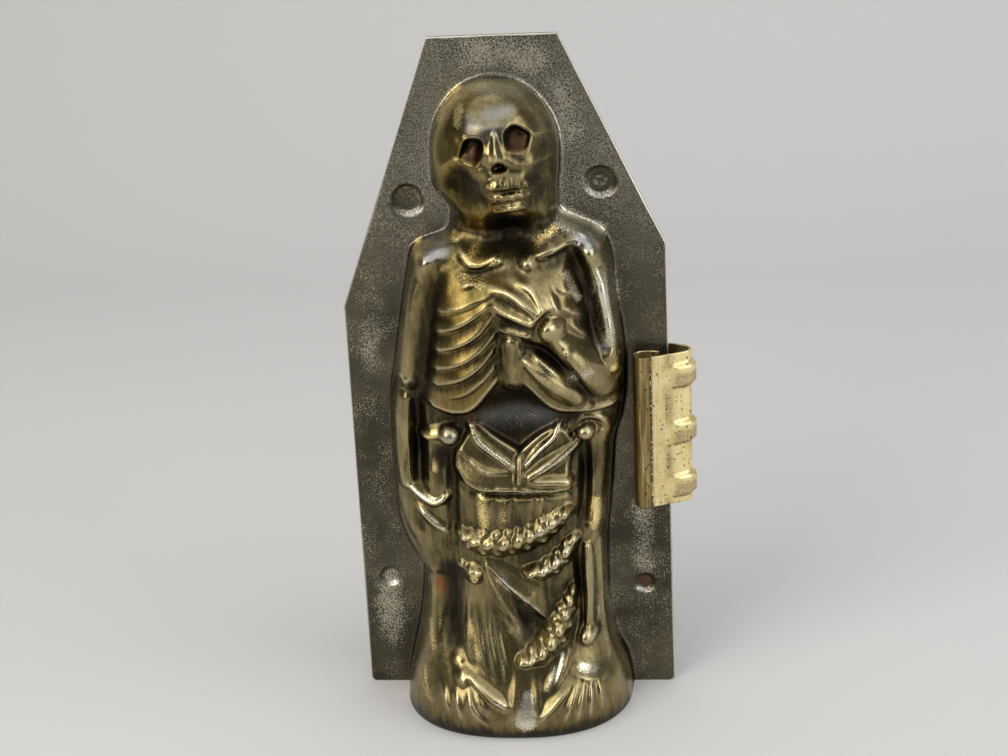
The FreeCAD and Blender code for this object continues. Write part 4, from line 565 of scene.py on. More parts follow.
def plate_half_widths(z, drop):
    """Half width of the coffin-shaped plate: two straight runs, with a rounded foot corner."""
    shoulder = plate_height - drop
    upright = plate_half_width - side_taper * z / shoulder
    slanted = (plate_half_width - side_taper
               - (plate_half_width - side_taper - top_half_width) * (z - shoulder) / drop)
    below = np.clip(foot_corner - z, 0, foot_corner)
    return np.where(z <= shoulder, upright, slanted) - foot_corner + np.sqrt(foot_corner ** 2 - below ** 2)


class SheetGrid:
    """Places (x, z) of a sheet's grid, shaped so that its lines follow the figure's outline.

    Up to the cheeks the rows are level, and each runs from the plate's left edge to the figure,
    across it and on to the right edge. Above, a square (q, v) is mapped onto half an ellipse with
    x ~ q sqrt(1 - v^2 / 2) and z ~ v sqrt(1 - q^2 / 2), and the cells beyond it are blended
    straight out to the plate's sides, top and corners.
    """

    def __init__(self):
        out = np.linspace(0, 1, flange_columns + 1)[1:]
        q = np.concatenate([-np.ones(flange_columns), crowded(figure_columns), np.ones(flange_columns)])
        a = np.concatenate([out[::-1], np.zeros(figure_columns + 1), out])
        low = np.concatenate([np.linspace(0, chin_height, body_rows, endpoint=False),
                              np.linspace(chin_height, cheek_height, face_rows + 1)])
        left, right = outline_edges(low)
        middle, half = (left + right) / 2, (right - left) / 2
        drops = np.where(q < 0, left_shoulder_drop, right_shoulder_drop)
        inside = middle[:, None] + half[:, None] * q
        side = np.sign(q) * plate_half_widths(low[:, None], drops)
        lower = (inside + a * (side - inside), np.repeat(low[:, None], len(q), axis=1),
                 (a > 0) * np.abs(inside - side) * a)

        v = np.concatenate([crowded(2 * crown_rows)[crown_rows + 1:], np.ones(margin_rows)])[:, None]
        b = np.concatenate([np.zeros(crown_rows), np.linspace(0, 1, margin_rows + 1)[1:]])[:, None]
        half_in, mid_in = half[-1], middle[-1]
        x_in = mid_in + half_in * q * np.sqrt(1 - v * v / 2)
        z_in = cheek_height + crown_rise * v * np.sqrt(1 - q * q / 2)
        side_z = cheek_height + v * (plate_height - cheek_height) * side_rise_share + 0 * q
        side_x = np.sign(q) * plate_half_widths(side_z, drops)
        top_x = q * top_half_width * top_spread_share + 0 * v
        corner_x = np.sign(q) * top_half_width
        x = (1 - a) * (1 - b) * x_in + a * (1 - b) * side_x + (1 - a) * b * top_x + a * b * corner_x
        z = (1 - a) * (1 - b) * z_in + a * (1 - b) * side_z + ((1 - a) * b + a * b) * plate_height
        upper = (x, z, np.hypot(x - x_in, z - z_in))
        self.x, self.z, self.beyond = (np.concatenate(pair) for pair in zip(lower, upper))
        left, right = outline_edges(np.minimum(self.z, cheek_height))
        across = (2 * self.x - left - right) / (right - left)
        rise = np.maximum(0, (self.z - cheek_height) / crown_rise)
        self.reach = np.where(self.beyond > 0, 1.0, np.minimum(np.hypot(across, rise), 1.0))


def curved(points, steps=curve_steps):
    """A smooth line through points: the Catmull-Rom cubic on each stretch, at equal steps."""
    p = np.array(points, dtype=float)
    if len(p) < 3:
        return p
    padded = np.concatenate([2 * p[:1] - p[1:2], p, 2 * p[-1:] - p[-2:-1]])
    t = np.linspace(0, 1, steps, endpoint=False)[:, None]
    runs = [0.5 * (2 * b + (c - a) * t + (2 * a - 5 * b + 4 * c - d) * t ** 2
                   + (3 * b - a - 3 * c + d) * t ** 3)
            for a, b, c, d in zip(padded, padded[1:], padded[2:], padded[3:])]
    return np.concatenate(runs + [p[-1:]])


def line_measure(x, z, line):
    """Distance of each place from a line of points, how far along it lies, 0 to 1, and its side.

    The side is 1 to the left of the line's direction and -1 to the right.
    """
    best = np.full(x.shape, np.inf)
    along = np.zeros(x.shape)
    side = np.ones(x.shape)
    if len(line) == 1:
        return np.hypot(x - line[0][0], z - line[0][1]), along, side
    for i, (start, end) in enumerate(zip(line, line[1:])):
        run = end - start
        from_x, from_z = x - start[0], z - start[1]
        t = np.clip((from_x * run[0] + from_z * run[1]) / (run @ run), 0, 1)
        away = np.hypot(from_x - t * run[0], from_z - t * run[1])
        nearer = away < best
        best = np.where(nearer, away, best)
        along = np.where(nearer, (i + t) / (len(line) - 1), along)
        side = np.where(nearer, np.sign(run[0] * from_z - run[1] * from_x), side)
    return best, along, side


def section_height(section, u):
    """Height of a form's section at a distance u of its half width, as a share of its rise."""
    if section == "round":
        return np.sqrt(np.maximum(0, 1 - u * u))
    if section == "soft":
        return np.maximum(0, 1 - u * u) ** 2
    if section == "bar":
        return smooth_step((1 - u) / bar_edge_share)
    return np.maximum(0, 1 - u) ** crest_power


def along_line(values, along):
    """Values given at even steps along a line, read off at each place's share of its length."""
    steps = np.atleast_1d(values).astype(float)
    return np.interp(along, np.linspace(0, 1, len(steps)), steps)


def form_height(x, z, form):
    """Height of one form over every place: its section, carried along its smooth line."""
    section, width, rise, points = form
    line = curved(points)
    room = np.max(width)
    near = ((x > line[:, 0].min() - room) & (x < line[:, 0].max() + room)
            & (z > line[:, 1].min() - room) & (z < line[:, 1].max() + room))
    away, along, side = line_measure(x[near], z[near], line)
    here = along_line(width, along)
    if section == "shelf":
        here = np.where(side > 0, here, np.maximum(here * shelf_drop_share, shelf_least_drop))
    height = np.zeros(x.shape)
    height[near] = along_line(rise, along) * section_height(section, away / here)
    return height


def merged_height(x, z, forms):
    """Forms lying over each other, rounded where they cross: the root of a sum of powers."""
    total = np.zeros(x.shape)
    for form in forms:
        total += form_height(x, z, form) ** merge_power
    return total ** (1 / merge_power)


def polygon_inset(x, z, corners):
    """How far each place lies inside a polygon, 0 outside it: even-odd test and edge distance."""
    p = np.array(corners, dtype=float)
    closed = np.concatenate([p, p[:1]])
    away = line_measure(x, z, closed)[0]
    inside = np.zeros(x.shape, dtype=bool)
    for (ax, az), (bx, bz) in zip(closed, closed[1:]):
        spans = (az > z) != (bz > z)
        inside ^= spans & (x < ax + (z - az) / (bz - az if bz != az else 1.0) * (bx - ax))
    return np.where(inside, away, 0.0)


def convex_inset(x, z, corners):
    """How far each place lies inside a convex outline, rounded at its corners.

    The outline runs clockwise, and the smooth least of the distances from its sides is
    -k log(sum of exp(-distance / k)).
    """
    total = 0.0
    for (ax, az), (bx, bz) in zip(corners, corners[1:] + corners[:1]):
        run_x, run_z = bx - ax, bz - az
        away = (run_z * (x - ax) - run_x * (z - az)) / math.hypot(run_x, run_z)
        total = total + np.exp(-np.clip(away, -socket_far, socket_far) / socket_rounding)
    return np.maximum(0, -socket_rounding * np.log(total))


def socket_sunk(x, z, corners):
    """An eye socket: steep walls, and a floor that climbs from its deep top to its lower rim."""
    heights = [corner[1] for corner in corners]
    climb = np.clip((z - min(heights)) / (max(heights) - min(heights)), 0, 1)
    walls = 1 - np.exp(-convex_inset(x, z, corners) / socket_wall)
    return socket_depth * walls * (socket_floor_share + (1 - socket_floor_share) * climb)


def rope_forms():
    """Each rope run as a soft tube with uneven rows of beads along it, tapered with the tube."""
    forms = []
    for widths, points in rope_runs:
        line = curved(points, rope_steps)
        forms.append(("soft", tuple(rope_spread * w for w in widths), rope_rise, points))
        length = np.concatenate([[0], np.cumsum(np.hypot(*np.diff(line, axis=0).T))])
        heading = np.gradient(line, axis=0)
        normal = np.stack([-heading[:, 1], heading[:, 0]], axis=1) / np.hypot(*heading.T)[:, None]
        tube = along_line(widths, np.linspace(0, 1, len(line)))
        for low_row, high_row, start, slant, size, rise in bead_rows:
            row = (low_row + high_row) / 2
            for i, place in enumerate(np.arange(start * bead_pitch, length[-1], bead_pitch)):
                uneven = np.sin(bead_turns[0] * i + bead_turns[1] * row)
                stroke = []
                for across, shift in ((low_row, -slant), (high_row, slant)):
                    there = place + (shift + bead_wander * uneven) * bead_pitch
                    beside = line + across * tube[:, None] * normal
                    stroke.append(tuple(np.interp(there, length, beside[:, k]) for k in (0, 1)))
                share = np.interp(place, length, tube) / max(widths)
                tapered = size * (bead_least_share + (1 - bead_least_share) * share)
                height = rope_rise * section_height("soft", abs(row) / rope_spread)
                height += rise * (1 + bead_rise_change * uneven)
                forms.append(("round", tapered * (1 + bead_size_change * uneven), height, stroke))
    return forms


def figure_fade(grid, depths, depth):
    """The plain rounded body of the figure, and how fully its forms show: less near the outline."""
    section = (1 - grid.reach ** section_power) ** (1 / section_power)
    body = depth * smooth_values(depths, grid.z / figure_height) * section
    return body, np.minimum(1, section / fade_share) ** 2


def folded(grid, height):
    """The figure's wall turned out into the flat plate with a small fold.

    Beyond the outline the height goes on falling below the plate, and the smooth greater of it
    and 0 is (h + sqrt(h^2 + 4 k^2)) / 2, trimmed a little towards the plate near h = 0.
    """
    fall = np.where(grid.beyond > 0, -fold_fall * grid.beyond, height)
    trim = fold_softness ** 2 / (fold_softness + np.abs(fall)) * fold_trim_share
    return (fall + np.sqrt(fall ** 2 + 4 * fold_softness ** 2)) / 2 - trim


def dimple_places():
    """Centres and radii of the four dimples, midway between the figure's fold and the plate's edge."""
    places = []
    for shares, radius in ((upper_dimple_places, upper_dimple), (lower_dimple_places, lower_dimple)):
        for side, share, drop in zip((-1, 1), shares, (left_shoulder_drop, right_shoulder_drop)):
            z = figure_height * share
            figure_side = outline_edges(z)[0 if side < 0 else 1] + side * fold_width
            places.append(((figure_side + side * plate_half_widths(z, drop)) / 2, z, radius))
    return places


def dish_depths(grid, growth, depth):
    """Depth of the dimples: flat dishes whose walls rise smoothly over the wall's width."""
    sunk = np.zeros(grid.x.shape)
    for x, z, radius in dimple_places():
        away = np.hypot(grid.x - x, grid.z - z)
        sunk = np.maximum(sunk, depth * smooth_step((radius + growth - away) / dimple_wall))
    return sunk


def disc_places():
    """Centres of the upper right and the lower left dimple, whose floors carry plain raised discs."""
    return [(x, z) for x, z, _ in dimple_places()[1:3]]


def disc_rises(grid):
    """Height of the plain discs: flat tops whose edges fall smoothly over the edge's width."""
    rise = np.zeros(grid.x.shape)
    for x, z in disc_places():
        away = np.hypot(grid.x - x, grid.z - z)
        rise += disc_rise * smooth_step((disc_radius - away) / disc_edge)
    return rise


def crescents(grid):
    """Painted highlights on the lower walls of the dimples and on the edges of the discs, as soft bands.

    The band round a dimple's wall fades out towards the dimple's middle height.
    """
    lightness = np.zeros(grid.x.shape)
    for x, z, radius in dimple_places():
        away = np.hypot(grid.x - x, grid.z - z)
        band = np.exp(-((away - radius + dimple_wall / 2) / crescent_half_width) ** 2)
        lightness += band * smooth_step(((z - grid.z) / radius - crescent_start_share) / crescent_fade_share)
    for x, z in disc_places():
        away = np.hypot(grid.x - x, grid.z - z)
        lightness += disc_highlight * np.exp(-((away - disc_radius + disc_edge / 2) / disc_highlight_half_width) ** 2)
    return lightness


def stroke_field(grid, strokes):
    """Strength of a set of soft strokes at every place, where strokes over each other don't add up."""
    return np.max([form_height(grid.x, grid.z, ("soft", *stroke)) for stroke in strokes], axis=0)


def tone_field(grid, strokes):
    """The same for strokes whose strengths do add up."""
    return sum(form_height(grid.x, grid.z, ("soft", *stroke)) for stroke in strokes)


def front_heights(grid):
    """Height of the front half above its plate: the body, its swells, bones over it and cuts."""
    x, z = grid.x, grid.z
    body, fade = figure_fade(grid, front_depths, front_depth)
    swell = sum(form_height(x, z, form) for form in swells)
    bones = merged_height(x, z, chest_bones + arm_bones + hip_bones + leg_bones + foot_bones + rope_forms())
    bones = np.maximum(bones, hip_plate_rise * smooth_step(polygon_inset(x, z, hip_plate) / hip_plate_edge))
    rims = [("soft", socket_rim_half_width, socket_rim_rise, socket + socket[:1])
            for socket in (left_socket, right_socket)]
    worn_teeth = [("soft", width, rise, [(tx, tz + tooth_half_length), (tx, tz - tooth_half_length)])
                  for tx, tz, width, rise in teeth]
    face = merged_height(x, z, skull_bones + rims + worn_teeth)
    sunk = merged_height(x, z, cuts)
    for socket in (left_socket, right_socket):
        sunk = np.maximum(sunk, socket_sunk(x, z, socket))
    sunk = np.maximum(sunk, nose_depth * smooth_step(polygon_inset(x, z, nose_hole) / nose_wall))
    height = body + fade * (swell + np.maximum(bones, face) - sunk)
    height = blurred(height, form_rounds)
    dishes = dish_depths(grid, 0.0, dimple_depth) - disc_rises(grid)
    return np.minimum(folded(grid, height), front_reach) - dishes


def back_heights(grid):
    """Height of the back half above its plate, with a spine, ribs and a shroud in even folds."""
    x, z = grid.x, grid.z
    body, fade = figure_fade(grid, back_depths, back_depth)
    swell = sum(form_height(x, z, form) for form in back_swells)
    forms = list(back_bones)
    for i in range(vertebra_count):
        forms.append((*vertebra_section, [(0, vertebra_top - i * vertebra_pitch)]))
    for side in (-1, 1):
        for i in range(back_rib_count):
            top = back_rib_top - i * back_rib_pitch
            forms.append((*back_rib_section, [(side * along, top + above) for along, above in back_rib_line]))
    for i in range(back_fold_count):
        place = 2 * i / (back_fold_count - 1) - 1
        forms.append((*back_fold_section, [(place * along, above) for along, above in back_fold_line]))
    height = body + fade * (swell + merged_height(x, z, forms))
    wall = sheet * math.tan(math.atan2(dimple_depth, dimple_wall) / 2)
    dishes = dish_depths(grid, nesting + 2 * wall, dimple_depth + nesting)
    return np.minimum(folded(grid, height), back_reach) + dishes


def blurred(values, rounds):
    """A grid of values smoothed by averaging each with its four neighbours, several times over."""
    for _ in range(rounds):
        wide = np.pad(values, 1, mode="edge")
        values = (wide[1:-1, 1:-1] + wide[:-2, 1:-1] + wide[2:, 1:-1] + wide[1:-1, :-2] + wide[1:-1, 2:]) / 5
    return values


def grid_normals(points):
    """Unit normals of a grid of points: the cross product of its two differences."""
    normal = np.cross(np.gradient(points, axis=1), np.gradient(points, axis=0))
    return normal / np.linalg.norm(normal, axis=2, keepdims=True)


def border(rows, columns, step=1):
    """Indices of a grid's border, once round from its first corner, every step-th line."""
    index = np.arange(rows * columns).reshape(rows, columns)
    return np.concatenate([index[0, :-1:step], index[:-1:step, -1], index[-1, :0:-step], index[:0:-step, 0]])


def grid_quads(rows, columns, start, flip):
    """Corner indices of a grid's quads, counter-clockwise seen from -Y, or the other way round."""
    index = start + np.arange(rows * columns).reshape(rows, columns)
    quads = np.stack([index[:-1, :-1], index[:-1, 1:], index[1:, 1:], index[1:, :-1]], axis=2).reshape(-1, 4)
    return quads[:, ::-1] if flip else quads


def mesh_piece(name, points, faces, flat_faces, fields):
    """A mesh object from points in millimetres and arrays of faces, with named point attributes."""
    mesh = bpy.data.meshes.new(name)
    blocks = faces + flat_faces
    mesh.vertices.add(len(points))
    mesh.vertices.foreach_set("co", (points * MM).astype(np.float32).ravel())
    corners = np.concatenate([block.ravel() for block in blocks])
    sizes = np.concatenate([np.full(len(block), block.shape[1]) for block in blocks])
    mesh.loops.add(len(corners))
    mesh.loops.foreach_set("vertex_index", corners.astype(np.int32))
    mesh.polygons.add(len(sizes))
    mesh.polygons.foreach_set("loop_start", np.concatenate([[0], np.cumsum(sizes)[:-1]]).astype(np.int32))
    smooth = np.arange(len(sizes)) < sum(len(block) for block in faces)
    mesh.polygons.foreach_set("use_smooth", smooth)
    for field, values in fields.items():
        mesh.attributes.new(field, "FLOAT", "POINT").data.foreach_set("value", values.astype(np.float32))
    mesh.update(calc_edges=True)
    mesh.validate()
    piece = bpy.data.objects.new(name, mesh)
    bpy.context.scene.collection.objects.link(piece)
    return piece


def closed_sheet(name, outer, inner, step, flip, fields):
    """A closed sheet from two grids of points: its two faces and the cut edge between them.

    The inner grid keeps every step-th line of the outer one. flip turns all faces round, for a
    sheet whose outer face looks along +Y.
    """
    rows, columns = outer.shape[:2]
    inner_rows, inner_columns = inner.shape[:2]
    start = rows * columns
    outer_loop = border(rows, columns)
    inner_loop = start + border(inner_rows, inner_columns)
    spans = [np.roll(outer_loop, -k)[::step] for k in range(step, -1, -1)]
    rim = np.stack(spans + [inner_loop, np.roll(inner_loop, -1)], axis=1)
    points = np.concatenate([outer.reshape(-1, 3), inner.reshape(-1, 3)])
    faces = [grid_quads(rows, columns, 0, flip), grid_quads(inner_rows, inner_columns, start, not flip)]
    return mesh_piece(name, points, faces, [rim[:, ::-1] if flip else rim], fields)


def border_mask(rows, columns):
    """1 on a grid's border and 0 inside it."""
    mask = np.zeros((rows, columns))
    mask[0], mask[-1], mask[:, 0], mask[:, -1] = 1, 1, 1, 1
    return mask


def pressed_sheet(name, side, grid, heights, wear_and_painted_light):
    """One half: the fine outer face and, one thickness behind it, the inner face.

    side is -1 for the front half and 1 for the back half. The inner face lies along the normals
    of the smoothed outer face. Point attributes tell the finish how far a place stands above its
    surroundings (lift, to which painted shade and light are added, and crest for the finest forms),
    where the figure and the edges are, and where the fields of wear, painted highlights, painted
    reflections and painted light lie. They are 0 on the inner face, where the metal stays dark.
    """
    outer = np.stack([grid.x, side * (face_level + heights), grid.z], axis=2)
    softened = np.stack([grid.x, side * (face_level + blurred(heights, inner_rounds)), grid.z], axis=2)
    coarse = softened[::inner_step, ::inner_step]
    inward = -side * np.sign(grid_normals(coarse)[-1, 0, 1]) * grid_normals(coarse)
    inward[0, :, 2] = 0
    inner = coarse + inward * sheet / np.linalg.norm(inward, axis=2, keepdims=True)
    fields = {
        "lift": heights - blurred(heights, lift_rounds),
        "crest": heights - blurred(heights, crest_rounds),
        "figure": smooth_step((heights - figure_start) / figure_run),
        # A painted glint along the figure's fold, over its upper part
        "rim": np.exp(-((heights - rim_level) / rim_spread) ** 2) * smooth_step((grid.z - rim_low) / rim_run),
        "foot": smooth_step((foot_top - grid.z) / foot_run),
        "edge": border_mask(*grid.x.shape),
    }
    for field, values in wear_and_painted_light.items():
        fields[field] = fields.get(field, 0) + values
    hidden = np.zeros(inner.shape[0] * inner.shape[1])
    fields = {field: np.concatenate([values.ravel(), hidden]) for field, values in fields.items()}
    return closed_sheet(name, outer, inner, inner_step, side > 0, fields)


def front_wear_and_painted_light(grid):
    """Fields of wear on the front half, with painted highlights, painted reflections, painted light and
    painted shade among them. Dull strokes and the sockets' rims shine less than other crests.
    """
    rims = [(socket_rim_dulled, 1.0, socket + socket[:1]) for socket in (left_socket, right_socket)]
    return {
        "gold": stroke_field(grid, gold_wear_and_highlight_strokes),
        "silver": stroke_field(grid, silver_wear_and_highlight_strokes),
        "khaki": stroke_field(grid, khaki_strokes),
        "cool_reflection": stroke_field(grid, painted_reflection_strokes),
        "warm_light": stroke_field(grid, painted_warm_light_strokes),
        "orange": stroke_field(grid, orange_strokes),
        "red": stroke_field(grid, red_strokes),
        "lift": tone_field(grid, painted_shade_and_light_strokes),
        "crest": -dulling * stroke_field(grid, rims + dull_strokes),
        "rim": crescents(grid),
    }


def back_wear_and_painted_light(grid):
    """Fields of wear, painted shade and painted light on the back half, where the dimples' bosses are no part
    of the figure.
    """
    return {
        "gold": stroke_field(grid, back_gold_strokes),
        "silver": stroke_field(grid, back_silver_strokes),
        "khaki": stroke_field(grid, back_khaki_strokes),
        "red": stroke_field(grid, back_red_strokes),
        "lift": tone_field(grid, back_painted_shade_and_light_strokes),
        "figure": -dish_depths(grid, sheet, boss_masking),
    }


# Spring clip: profile from a jaw's loose end to the bow, as (place along X, where -1 is the tip
# of the roll and 1 the bow, and distance from the flange as a share of the jaw's depth)
clip_sheet = 0.5
clip_jaw_depth = 5.9
clip_jaw_clearance = 0.3
clip_rib_bulge = 1.1
clip_rib_half_width = 2.9
clip_profile = [
    (-0.10, 0.10), (-0.28, 0.01), (-0.45, 0.0), (-0.65, 0.01), (-0.86, 0.10), (-0.99, 0.32),
    (-1.0, 0.60), (-0.91, 0.87), (-0.74, 1.0), (-0.56, 0.97), (-0.43, 0.86), (-0.32, 0.82),
    (0.20, 0.60), (0.60, 0.38), (0.88, 0.16)]
clip_roll_points = 8
clip_stretch_steps = 7
clip_rows = 132
# The ribs' middles are shares of the clip's height, and starts, runs and places lie along X as in the
# profile. Across a rib, its reach, edge, painted shade and the darker line along its foot are in half
# widths of the rib. Depths are in mm.
clip_ribs = (0.12, 0.48, 0.855)
clip_rib_start = 0.24
clip_rib_slant = 0.10
clip_rib_run = 0.22
clip_rib_reach = 1.12
clip_rib_edge = 0.45
clip_shade_top = 0.5
clip_shade_foot = 1.15
clip_shade_edge = 0.2
clip_rib_foot_darkening_half_width = 0.16
clip_crease = -0.405
clip_crease_half_width = 0.045
clip_crease_depth = 0.32
clip_roll_run = 0.06
# Shallow facets between the ribs, pressed in and painted darker as shade
clip_facet_place = 0.08
clip_facet_bow = 0.10
clip_facet_half_width = 0.13
clip_facet_depth = 0.42
clip_facet_spread = 0.012
# How much darker the clip's inner face is made, through the facets' field
clip_inside_darkening = 0.5


def clip_sheet_piece():
    """The clip: one strip bent round the flange, with rolled jaws, a crease and three ribs.

    The profile is a smooth line, mirrored behind the flange. Each place moves out along the
    profile's normal by the ribs' bulge and in by the crease and the shallow facets between ribs.
    """
    tip = clip_low[0] / MM
    bow = clip_high[0] / MM - clip_rib_bulge
    foot, head = clip_low[2] / MM, clip_high[2] / MM
    nearest = face_level + clip_jaw_clearance
    place, share = np.array(clip_profile).T
    x = (tip + bow) / 2 + place * (bow - tip) / 2
    front_part = np.stack([x, -nearest - clip_jaw_depth * share, place], axis=1)
    middle = np.array([[bow, 0.0, 1.0]])
    line = curved(np.concatenate([front_part, middle, front_part[::-1] * (1, -1, 1)]), clip_stretch_steps)
    z = np.linspace(foot, head, clip_rows + 1)[:, None]
    run = np.gradient(line[:, :2], axis=0)
    out = np.stack([run[:, 1], -run[:, 0]], axis=1) / np.hypot(*run.T)[:, None]
    along = line[:, 2]
    rise, shade, rib_foot_darkening = np.zeros((3, clip_rows + 1, len(line)))
    for share in clip_ribs:
        above = (z - foot - share * (head - foot)) / clip_rib_half_width
        away = np.abs(above)
        start = smooth_step((along - clip_rib_start + clip_rib_slant * (away - 0.5)) / clip_rib_run)
        rise = np.maximum(rise, clip_rib_bulge * start * smooth_step((clip_rib_reach - away) / clip_rib_edge))
        lower = smooth_step((clip_shade_top - above) / clip_shade_top)
        shade = np.maximum(shade, start * lower * smooth_step((above + clip_shade_foot) / clip_shade_edge))
        # A darker line along each rib's lower edge
        rib_foot_darkening = np.maximum(rib_foot_darkening, start * np.exp(-((above + 1.0) / clip_rib_foot_darkening_half_width) ** 2))
    step = np.arange(len(line))
    rolled = clip_roll_points * clip_stretch_steps
    strap_side = (step >= rolled) & (step < len(line) - rolled)
    crease = np.exp(-((along - clip_crease) / clip_crease_half_width) ** 2) * strap_side
    # Facets between the ribs, pressed in; the finish paints them darker as shade
    nearest_rib = np.min([((z - foot) / (head - foot) - share) ** 2 for share in clip_ribs], axis=0)
    between = 1 - np.exp(-nearest_rib / clip_facet_spread)
    bowed = along - clip_facet_place - clip_facet_bow * between
    facet = np.exp(-(bowed / clip_facet_half_width) ** 2) * between * strap_side
    rise = rise * strap_side - clip_crease_depth * crease - clip_facet_depth * facet
    points = np.stack([line[:, 0] + out[:, 0] * rise, line[:, 1] + out[:, 1] * rise, z + 0 * rise], axis=2)
    normal = grid_normals(points)
    inner = points - normal * clip_sheet * np.sign(normal[0, len(line) // 2, 0])
    roll = smooth_step((clip_crease - along) / clip_roll_run)
    fields = {"crease": crease + 0 * z, "roll": roll + 0 * z, "facet": facet, "shade": shade, "rib_foot_darkening": rib_foot_darkening}
    hidden = np.zeros(rise.size)
    fields = {field: np.concatenate([values.ravel(), hidden]) for field, values in fields.items()}
    fields["facet"][rise.size:] = clip_inside_darkening
    return closed_sheet("spring_clip_brass", points, inner, 1, False, fields)


grid = SheetGrid()
front = pressed_sheet("front_half_tin", -1, grid, front_heights(grid), front_wear_and_painted_light(grid))
back = pressed_sheet("back_half_tin", 1, grid, back_heights(grid), back_wear_and_painted_light(grid))
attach(front, "front")
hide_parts("front_half")
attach(back, "back")
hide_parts("back_half")
clip = clip_sheet_piece()
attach(clip, "clip")
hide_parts("spring_clip")

# Stage, in metres: a pale floor that sweeps up into a backdrop, and soft lamps
floor_half = 5.0
floor_front = -7.0
backdrop_start = 0.35
backdrop_bend = 0.25
backdrop_top = 1.4
bend_steps = 24
floor_columns = 9
floor_colour = (0.70, 0.69, 0.68, 1)
floor_roughness = 0.9
sky_colour = (0.8, 0.8, 0.8, 1)
sky_strength = 0.2
# Lamps: (name, place, width and height, power, colour), all turned towards the figure's middle
figure_middle = (0, 0, 0.08)
lamps = [
    ("window_left", (-0.5, -0.55, 0.55), (0.6, 0.6), 3.4, (1.0, 0.95, 0.86)),
    ("fill_right", (0.8, -0.28, 0.40), (0.6, 0.8), 3.2, (0.97, 0.98, 1.0)),
    ("sky_top", (0.0, -0.2, 0.8), (1.3, 1.0), 4.6, (0.96, 0.98, 1.0)),
]


def studio_sweep():
    """A floor that bends up into a backdrop: a straight run, a quarter circle and a straight rise."""
    turn = np.linspace(0, np.pi / 2, bend_steps)
    profile = np.concatenate([
        [[floor_front, 0]],
        np.stack([backdrop_start + backdrop_bend * np.sin(turn), backdrop_bend * (1 - np.cos(turn))], axis=1),
        [[backdrop_start + backdrop_bend, backdrop_top]]])
    across = np.linspace(-floor_half, floor_half, floor_columns)
    x, y = np.meshgrid(across, profile[:, 0])
    z = np.repeat(profile[:, 1:2], len(across), axis=1)
    points = np.stack([x, y, z], axis=2)
    faces = grid_quads(len(profile), len(across), 0, False)
    piece = mesh_piece("studio_floor", points.reshape(-1, 3) / MM, [faces], [], {})
    return piece


def soft_lamp(name, place, size, power, colour):
    """A rectangular area lamp at a place, turned towards the figure's middle."""
    lamp = bpy.data.lights.new(name, "AREA")
    lamp.shape = "RECTANGLE"
    lamp.size, lamp.size_y = size
    lamp.energy = power
    lamp.color = colour
    holder = bpy.data.objects.new(name, lamp)
    holder.location = place
    holder.rotation_euler = (Vector(figure_middle) - Vector(place)).to_track_quat("-Z", "Y").to_euler()
    bpy.context.scene.collection.objects.link(holder)


